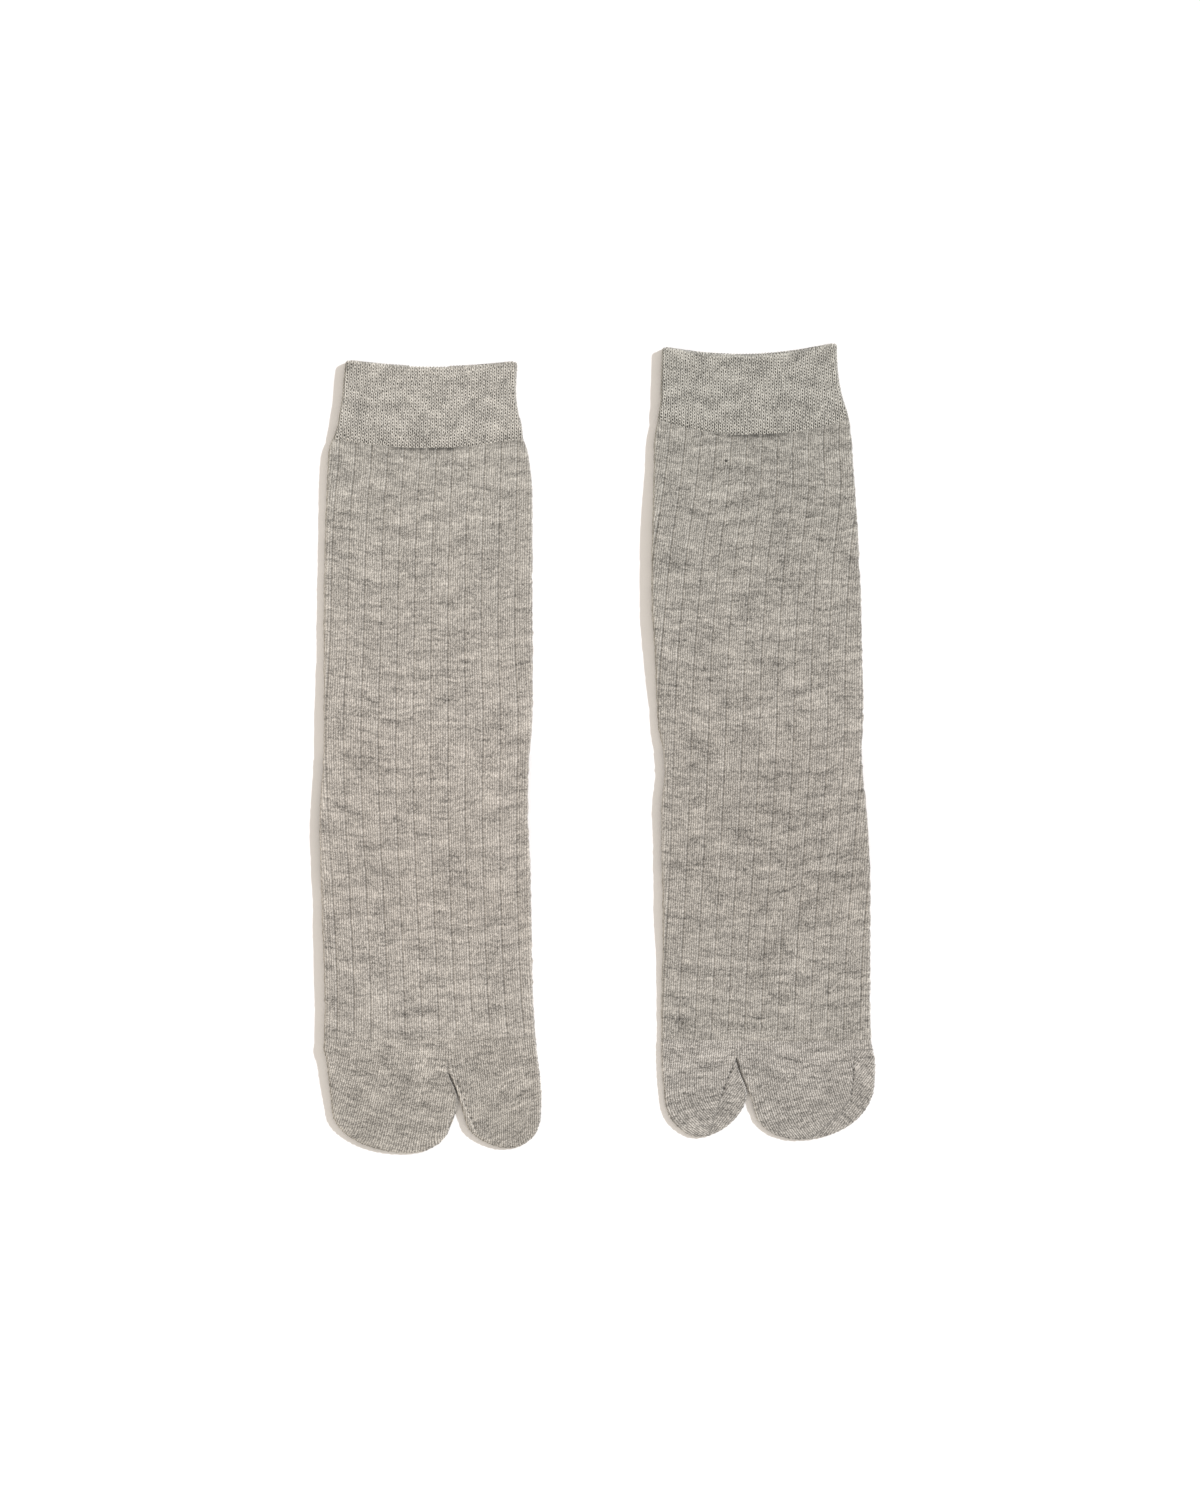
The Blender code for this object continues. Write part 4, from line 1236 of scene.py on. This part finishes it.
def new_group(name, outputs, **inputs):
    """Starts a shader group with these outputs and number inputs: (wires, inputs, outputs)."""
    tree = bpy.data.node_groups.new(name, "ShaderNodeTree")
    for label, default in inputs.items():
        socket = tree.interface.new_socket(label, in_out="INPUT", socket_type="NodeSocketFloat")
        socket.default_value = default
    for label in outputs.split():
        tree.interface.new_socket(label, in_out="OUTPUT", socket_type="NodeSocketFloat")
    GROUPS[name] = tree
    wires = Wires(tree)
    into = wires.node("NodeGroupInput")
    out = wires.node("NodeGroupOutput")
    return wires, into.outputs, out.inputs


def heather_group():
    """Shade of melange yarn: each stitch's legs, whole columns, dashes of a course and patches."""
    weights = dict.fromkeys(("Leg", "Column", "Streak", "Mottle"), 1)
    wires, given, out = new_group("Heather yarn", "Shade", Wale=0, Course=0, Seed=0, **weights)
    wale, course, seed = given["Wale"], given["Course"], given["Seed"]
    lean = wires.scaled(wires.from_middle(wale), STITCH_LEAN, course)
    lean = wires.math("FLOOR", wires.times(lean, GRAINS_DOWN))
    leg = wires.grains(wires.join(wires.math("FLOOR", wires.times(wale, 2.0)), lean, seed))
    slow = [wires.times(place, rate) for place, rate in zip((wale, course), BEND_RATES)]
    bent = wires.scaled(wires.noise(wires.join(slow[0], 0.5, slow[1]), 1.0), BEND, course)
    whole = wires.math("FLOOR", wale)
    column = wires.join(wires.times(whole, APART), wires.times(course, COLUMN_DRIFT), seed)
    column = wires.noise(column, 1.0)
    stagger = wires.grains(wires.join(whole, seed, 7.0))
    along = wires.times(wale, STREAK_RATES[0])
    offset = wires.scaled(stagger, COLUMN_STAGGER, wires.times(bent, STREAK_RATES[1]))
    streak = wires.noise(wires.join(along, offset, seed), 2.0, YARN_ROUGH)
    wide = wires.times(wale, PATCH_RATES[0])
    tall = wires.scaled(stagger, PATCH_STAGGER, wires.times(bent, PATCH_RATES[1]))
    patch = wires.noise(wires.join(wide, tall, seed), 3.0, YARN_ROUGH)
    total = wires.times(leg, given["Leg"])
    for value, label in ((column, "Column"), (streak, "Streak"), (patch, "Mottle")):
        total = wires.scaled(value, given[label], total)
    wires.feed(out["Shade"], total)


def stitch_group():
    """Plain knit: V-shaped stitches in columns. Height for bump, and Ditch: painted shade between
    columns.
    """
    wires, given, out = new_group("Plain stitches", "Height Ditch", Wale=0, Course=0)
    off = wires.from_middle(given["Wale"])
    lean = wires.scaled(off, STITCH_LEAN, given["Course"])
    wave = wires.math("SINE", wires.times(lean, 2 * math.pi))
    crown = wires.minus(1.0, wires.math("POWER", wires.times(off, 2.0), 2.0))
    wires.feed(out["Height"], wires.times(wires.scaled(wave, *STITCH_WAVE), crown))
    ditch = wires.math("POWER", wires.times(off, 2.0), DITCH_SHARP)
    between = wires.times(wires.math("ROUND", given["Wale"]), APART)
    slow, quick = (wires.times(given["Course"], rate) for rate in DITCH_RATES)
    uneven = wires.noise(wires.join(between, slow, 5.0), 2.0)
    one = wires.grains(wires.join(between, wires.math("FLOOR", quick), 5.0))
    one = wires.scaled(one, DITCH_UNEVEN[1], DITCH_USUAL)
    uneven = wires.scaled(uneven, DITCH_UNEVEN[0], one, clamp=True)
    wires.feed(out["Ditch"], wires.times(ditch, uneven))


def groove_group():
    """The line where a needle was left out: painted shade, thin and broken here and there."""
    wires, given, out = new_group("Rib groove", "Groove", Wale=0, Course=0, Half=0.3)
    ribs = wires.math("DIVIDE", given["Wale"], float(WALES))
    place = wires.math("FRACT", ribs)
    near = wires.math("MINIMUM", place, wires.minus(1.0, place))
    near = wires.scaled(near, float(WALES), -GROOVE_LEDGE)
    core = wires.minus(1.0, wires.math("DIVIDE", near, given["Half"]), clamp=True)
    rib = wires.math("ROUND", ribs)
    quick, slow = (wires.times(given["Course"], rate) for rate in GROOVE_RATES)
    fine = wires.noise(wires.join(rib, quick, 3.0), 2.0)
    breaks = wires.noise(wires.join(wires.times(rib, GROOVE_RIBS), slow, 9.0), 1.0)
    breaks = wires.scaled(breaks, GROOVE_UNEVEN[1], GROOVE_USUAL)
    breaks = wires.scaled(fine, GROOVE_UNEVEN[0], breaks, clamp=True)
    wires.feed(out["Groove"], wires.times(core, breaks))


def chain_group():
    """Openwork of chains side by side: Strand, Gap in each link, and Between chains; gaps and
    between get painted shade.
    """
    wires, given, out = new_group("Chain mesh", "Strand Gap Between", Column=0, Row=0)
    x, y = (
        wires.math("ABSOLUTE", wires.minus(place, wires.math("ROUND", place)))
        for place in (given["Column"], given["Row"])
    )
    swell = wires.math("ABSOLUTE", wires.math("COSINE", wires.times(given["Row"], math.pi)))
    at = wires.scaled(swell, LINK_SWELL, LINK_PINCH)
    wires.feed(out["Strand"], wires.peak(wires.minus(x, at), STRAND))
    wires.feed(out["Gap"], wires.times(wires.peak(x, GAP_WIDE), wires.peak(y, GAP_TALL)))
    between = wires.peak(wires.minus(0.5, x), BETWEEN_CHAINS)
    wires.feed(out["Between"], wires.times(between, swell))


def drift_group():
    """How far the colour's tint is from its warmest, along the instep. Along is in metres."""
    wires, given, out = new_group("Tint drift", "Cool", Along=0)
    to_cuff = wires.times(given["Along"], 1 / WARM_TO_CUFF, clamp=True)
    to_toes = wires.scaled(
        given["Along"], -1 / WARM_TO_TOES, -WARM_LENGTH / WARM_TO_TOES, clamp=True
    )
    wires.feed(out["Cool"], wires.math("MAXIMUM", to_cuff, to_toes))


def fuzz_group():
    """Short loose fibres that catch the light."""
    wires, given, out = new_group("Yarn fuzz", "Fuzz", Wale=0, Course=0)
    across, along = (
        wires.times(given[label], rate) for label, rate in zip(("Wale", "Course"), FUZZ_RATES)
    )
    wires.feed(out["Fuzz"], wires.noise(wires.join(across, along, 1.0), 3.0, 0.65))


# ---- Materials ----

RIGHT_SEED = 11
LEFT_SEED = 47
TONE_RANGE = 0.75
COOL_TINT = (0.965, 0.993, 0.996, 1.0)
DEEP_SHADE = 0.2
LINT = (0.0553, 0.1234)  # metres
LINT_HALF = 0.62
GROOVE_SHADE = 0.5
GROOVE_LINE = 0.14  # half the width of the line of painted shade, in columns
LINK_LIT = 0.35  # strands thicker than this show paler, the rest darker
FUZZ_RELIEF = 0.3
ROUGHNESS = 0.92
SPECULAR = 0.2
SHEEN = 0.12
SHEEN_ROUGHNESS = 0.5
MESH_WALES = 3.0  # the openwork's yarn shades are finer than its loops
MESH_COURSES = 1.6

# How strongly the yarn's shade changes by stitch leg, column, dash and patch, how dark the
# painted shade in the ditches is, and the relief in millimetres.
Yarn = namedtuple("Yarn", "leg column streak mottle ditch relief")
YARN = {
    "rib": Yarn(leg=0.285, column=0.07, streak=0.36, mottle=0.43, ditch=0.78, relief=0.13),
    "plain": Yarn(leg=0.3, column=0.01, streak=0.49, mottle=0.34, ditch=0.94, relief=0.16),
    "mesh": Yarn(leg=0.3, column=0.08, streak=0.16, mottle=0.6, ditch=0.4, relief=0.12),
}

Colours = namedtuple("Colours", "leg cuff toe contrast")
RIGHT_COLOURS = Colours(
    leg=(0.459, 0.428, 0.383),
    cuff=(0.466, 0.449, 0.405),
    toe=(0.447, 0.416, 0.371),
    contrast=1.0,
)
LEFT_COLOURS = Colours(
    leg=(0.42, 0.397, 0.357),
    cuff=(0.418, 0.411, 0.372),
    toe=(0.448, 0.422, 0.385),
    contrast=1.06,
)


def place_group(wires, name, **values):
    node = wires.node("ShaderNodeGroup")
    node.node_tree = GROUPS[name]
    for label, value in values.items():
        wires.feed(node.inputs[label], value)
    return node.outputs


def knit_map(wires):
    node = wires.node("ShaderNodeUVMap", uv_map="Knit")
    parts = wires.node("ShaderNodeSeparateXYZ")
    wires.feed(parts.inputs[0], node.outputs[0])
    return parts.outputs[0], parts.outputs[1]


def lint_mark(wires, place, at):
    """1 on a fleck of dark lint on the upper surface, centred here."""
    square = [
        wires.math("POWER", wires.minus(place.outputs[axis], at[axis]), 2.0) for axis in range(2)
    ]
    inside = wires.math("LESS_THAN", wires.math("ADD", *square), (LINT_HALF * MM) ** 2)
    return wires.times(inside, wires.math("GREATER_THAN", place.outputs[2], 2 * MM))


def new_material(name):
    material = bpy.data.materials.new(name)
    material.use_nodes = True
    return material, material.node_tree.nodes["Principled BSDF"]


def shaded(colour, factor):
    return tuple(c * factor for c in colour) + (1.0,)


def knitted(name, colour, contrast, seed, kind, lint=None):
    """A knitted cloth. kind is rib, plain or mesh. lint is the place of a fleck on it."""
    yarn = YARN[kind]
    material, shader = new_material(name)
    wires = Wires(material.node_tree)
    wale, course = knit_map(wires)
    links = None
    if kind == "mesh":
        links = place_group(wires, "Chain mesh", Column=wale, Row=course)
        wale = wires.times(wale, MESH_WALES)
        course = wires.times(course, MESH_COURSES)
    weights = dict(Leg=yarn.leg, Column=yarn.column, Streak=yarn.streak, Mottle=yarn.mottle)
    place = dict(Wale=wale, Course=course)
    shade = place_group(wires, "Heather yarn", Seed=float(seed), **place, **weights)["Shade"]
    # paler loops with painted light and shade, and darker gaps and holes with painted shade
    tone_and_light, holes_and_shade = (
        wires.node("ShaderNodeAttribute", attribute_name=label).outputs["Fac"]
        for label in ("Tone and light", "Holes and shade")
    )
    if links:
        tone_and_light = wires.times(tone_and_light, wires.minus(links["Strand"], LINK_LIT))
        holes_and_shade = wires.times(holes_and_shade, links["Gap"])
        dark = links["Between"]
        height = wires.minus(links["Strand"], links["Gap"])
    else:
        stitches = place_group(wires, "Plain stitches", **place)
        dark = stitches["Ditch"]
        height = stitches["Height"]
    # painted shade in the ditches between columns, or between the chains
    dark = wires.times(dark, yarn.ditch * contrast)
    if kind == "rib":
        groove = place_group(wires, "Rib groove", Half=GROOVE_LINE, **place)["Groove"]
        dark = wires.math("MAXIMUM", dark, wires.times(groove, GROOVE_SHADE))
    shade = wires.scaled(tone_and_light, 0.5, shade)
    share = wires.math("ADD", shade, 0.5, clamp=True)
    spread = TONE_RANGE * contrast
    tone = wires.blend(share, shaded(colour, 1 - spread), shaded(colour, 1 + spread))
    dark = wires.math("MAXIMUM", dark, holes_and_shade, clamp=True)
    at = wires.node("ShaderNodeSeparateXYZ")
    wires.feed(at.inputs[0], wires.node("ShaderNodeTexCoord").outputs["Object"])
    if lint:
        dark = wires.math("MAXIMUM", dark, lint_mark(wires, at, lint))
    tone = wires.blend(dark, tone, shaded(colour, DEEP_SHADE))
    if kind != "mesh":
        cool = place_group(wires, "Tint drift", Along=at.outputs[1])["Cool"]
        tone = wires.blend(cool, tone, COOL_TINT, "MULTIPLY")
    fuzz = place_group(wires, "Yarn fuzz", **place)["Fuzz"]
    bump = wires.node("ShaderNodeBump")
    bump.inputs["Strength"].default_value = 1.0
    bump.inputs["Distance"].default_value = yarn.relief * MM
    wires.feed(bump.inputs["Height"], wires.scaled(fuzz, FUZZ_RELIEF, height))
    for label, value in (
        ("Base Color", tone),
        ("Normal", bump.outputs[0]),
        ("Roughness", ROUGHNESS),
        ("Specular IOR Level", SPECULAR),
        ("Sheen Weight", SHEEN),
        ("Sheen Roughness", SHEEN_ROUGHNESS),
    ):
        wires.feed(shader.inputs[label], value)
    return material


def make_materials(side, colours, seed, lint=None):
    contrast = colours.contrast
    return {
        "cuff": knitted(side + "_mesh_knit", colours.cuff, contrast, seed, "mesh"),
        "leg": knitted(side + "_rib_knit", colours.leg, contrast, seed + 1, "rib", lint),
        "toe": knitted(side + "_plain_knit", colours.toe, contrast, seed + 1, "plain"),
        "heel": knitted(side + "_heel_knit", colours.leg, contrast, seed + 3, "plain"),
    }


# ---- Floor, light and camera ----

KEY_STRENGTH = 2.8
FILL_STRENGTH = 0.68
KEY_HEIGHT = math.radians(34)
KEY_SIDE = math.radians(25)
KEY_SPREAD = math.radians(2)
KEY_COLOUR = (0.95, 0.98, 1.06)
FILL_COLOUR = (1.09, 1.0, 0.905, 1.0)
FLOOR_COLOUR = (0.98, 0.98, 0.98, 1.0)
FLOOR_HALF = 3.0
FLOOR_ROUGHNESS = 0.9
FLOOR_SPECULAR = 0.1
VIEW_LENS = 85.0
VIEW_SENSOR = 36.0
VIEW_HEIGHT = 0.645  # what the camera sees from top to bottom, at the socks' upper surface
VIEW_CENTRE = (0.00115, -0.0009, 0.003)


def make_floor():
    mesh = bpy.data.meshes.new("floor")
    corners = [(-1, -1), (1, -1), (1, 1), (-1, 1)]
    mesh.from_pydata([(x * FLOOR_HALF, y * FLOOR_HALF, 0) for x, y in corners], [], [(0, 1, 2, 3)])
    material, shader = new_material("pale_floor")
    shader.inputs["Base Color"].default_value = FLOOR_COLOUR
    shader.inputs["Roughness"].default_value = FLOOR_ROUGHNESS
    shader.inputs["Specular IOR Level"].default_value = FLOOR_SPECULAR
    mesh.materials.append(material)
    add("floor", mesh)


def make_light():
    sun = bpy.data.lights.new("key", "SUN")
    sun.energy = KEY_STRENGTH
    sun.angle = KEY_SPREAD
    sun.color = KEY_COLOUR
    add("key", sun).rotation_euler = (0.0, math.pi / 2 - KEY_HEIGHT, KEY_SIDE)
    world = bpy.data.worlds.new("soft_fill")
    world.use_nodes = True
    background = world.node_tree.nodes["Background"]
    background.inputs["Color"].default_value = FILL_COLOUR
    background.inputs["Strength"].default_value = FILL_STRENGTH
    bpy.context.scene.world = world


def make_camera():
    data = bpy.data.cameras.new("camera")
    data.lens = VIEW_LENS
    data.sensor_width = VIEW_SENSOR
    data.clip_end = 20.0
    camera = add("camera", data)
    x, y, z = VIEW_CENTRE
    camera.location = (x, y, z + VIEW_HEIGHT * VIEW_LENS / VIEW_SENSOR)
    bpy.context.scene.camera = camera
    bpy.context.scene.view_settings.view_transform = "Standard"


def main():
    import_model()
    make_camera()
    make_light()
    make_floor()
    heather_group()
    stitch_group()
    groove_group()
    chain_group()
    fuzz_group()
    drift_group()
    for sock, side, colours, seed, lint in (
        (RIGHT_SOCK, "right", RIGHT_COLOURS, RIGHT_SEED, None),
        (LEFT_SOCK, "left", LEFT_COLOURS, LEFT_SEED, LINT),
    ):
        materials = make_materials(side, colours, seed, lint)
        make_heel(sock, side, materials)
        make_leg(sock, side, seed, materials)
        make_cuff(sock, side, seed, materials)
        make_toe(sock, side, seed, materials)


main()
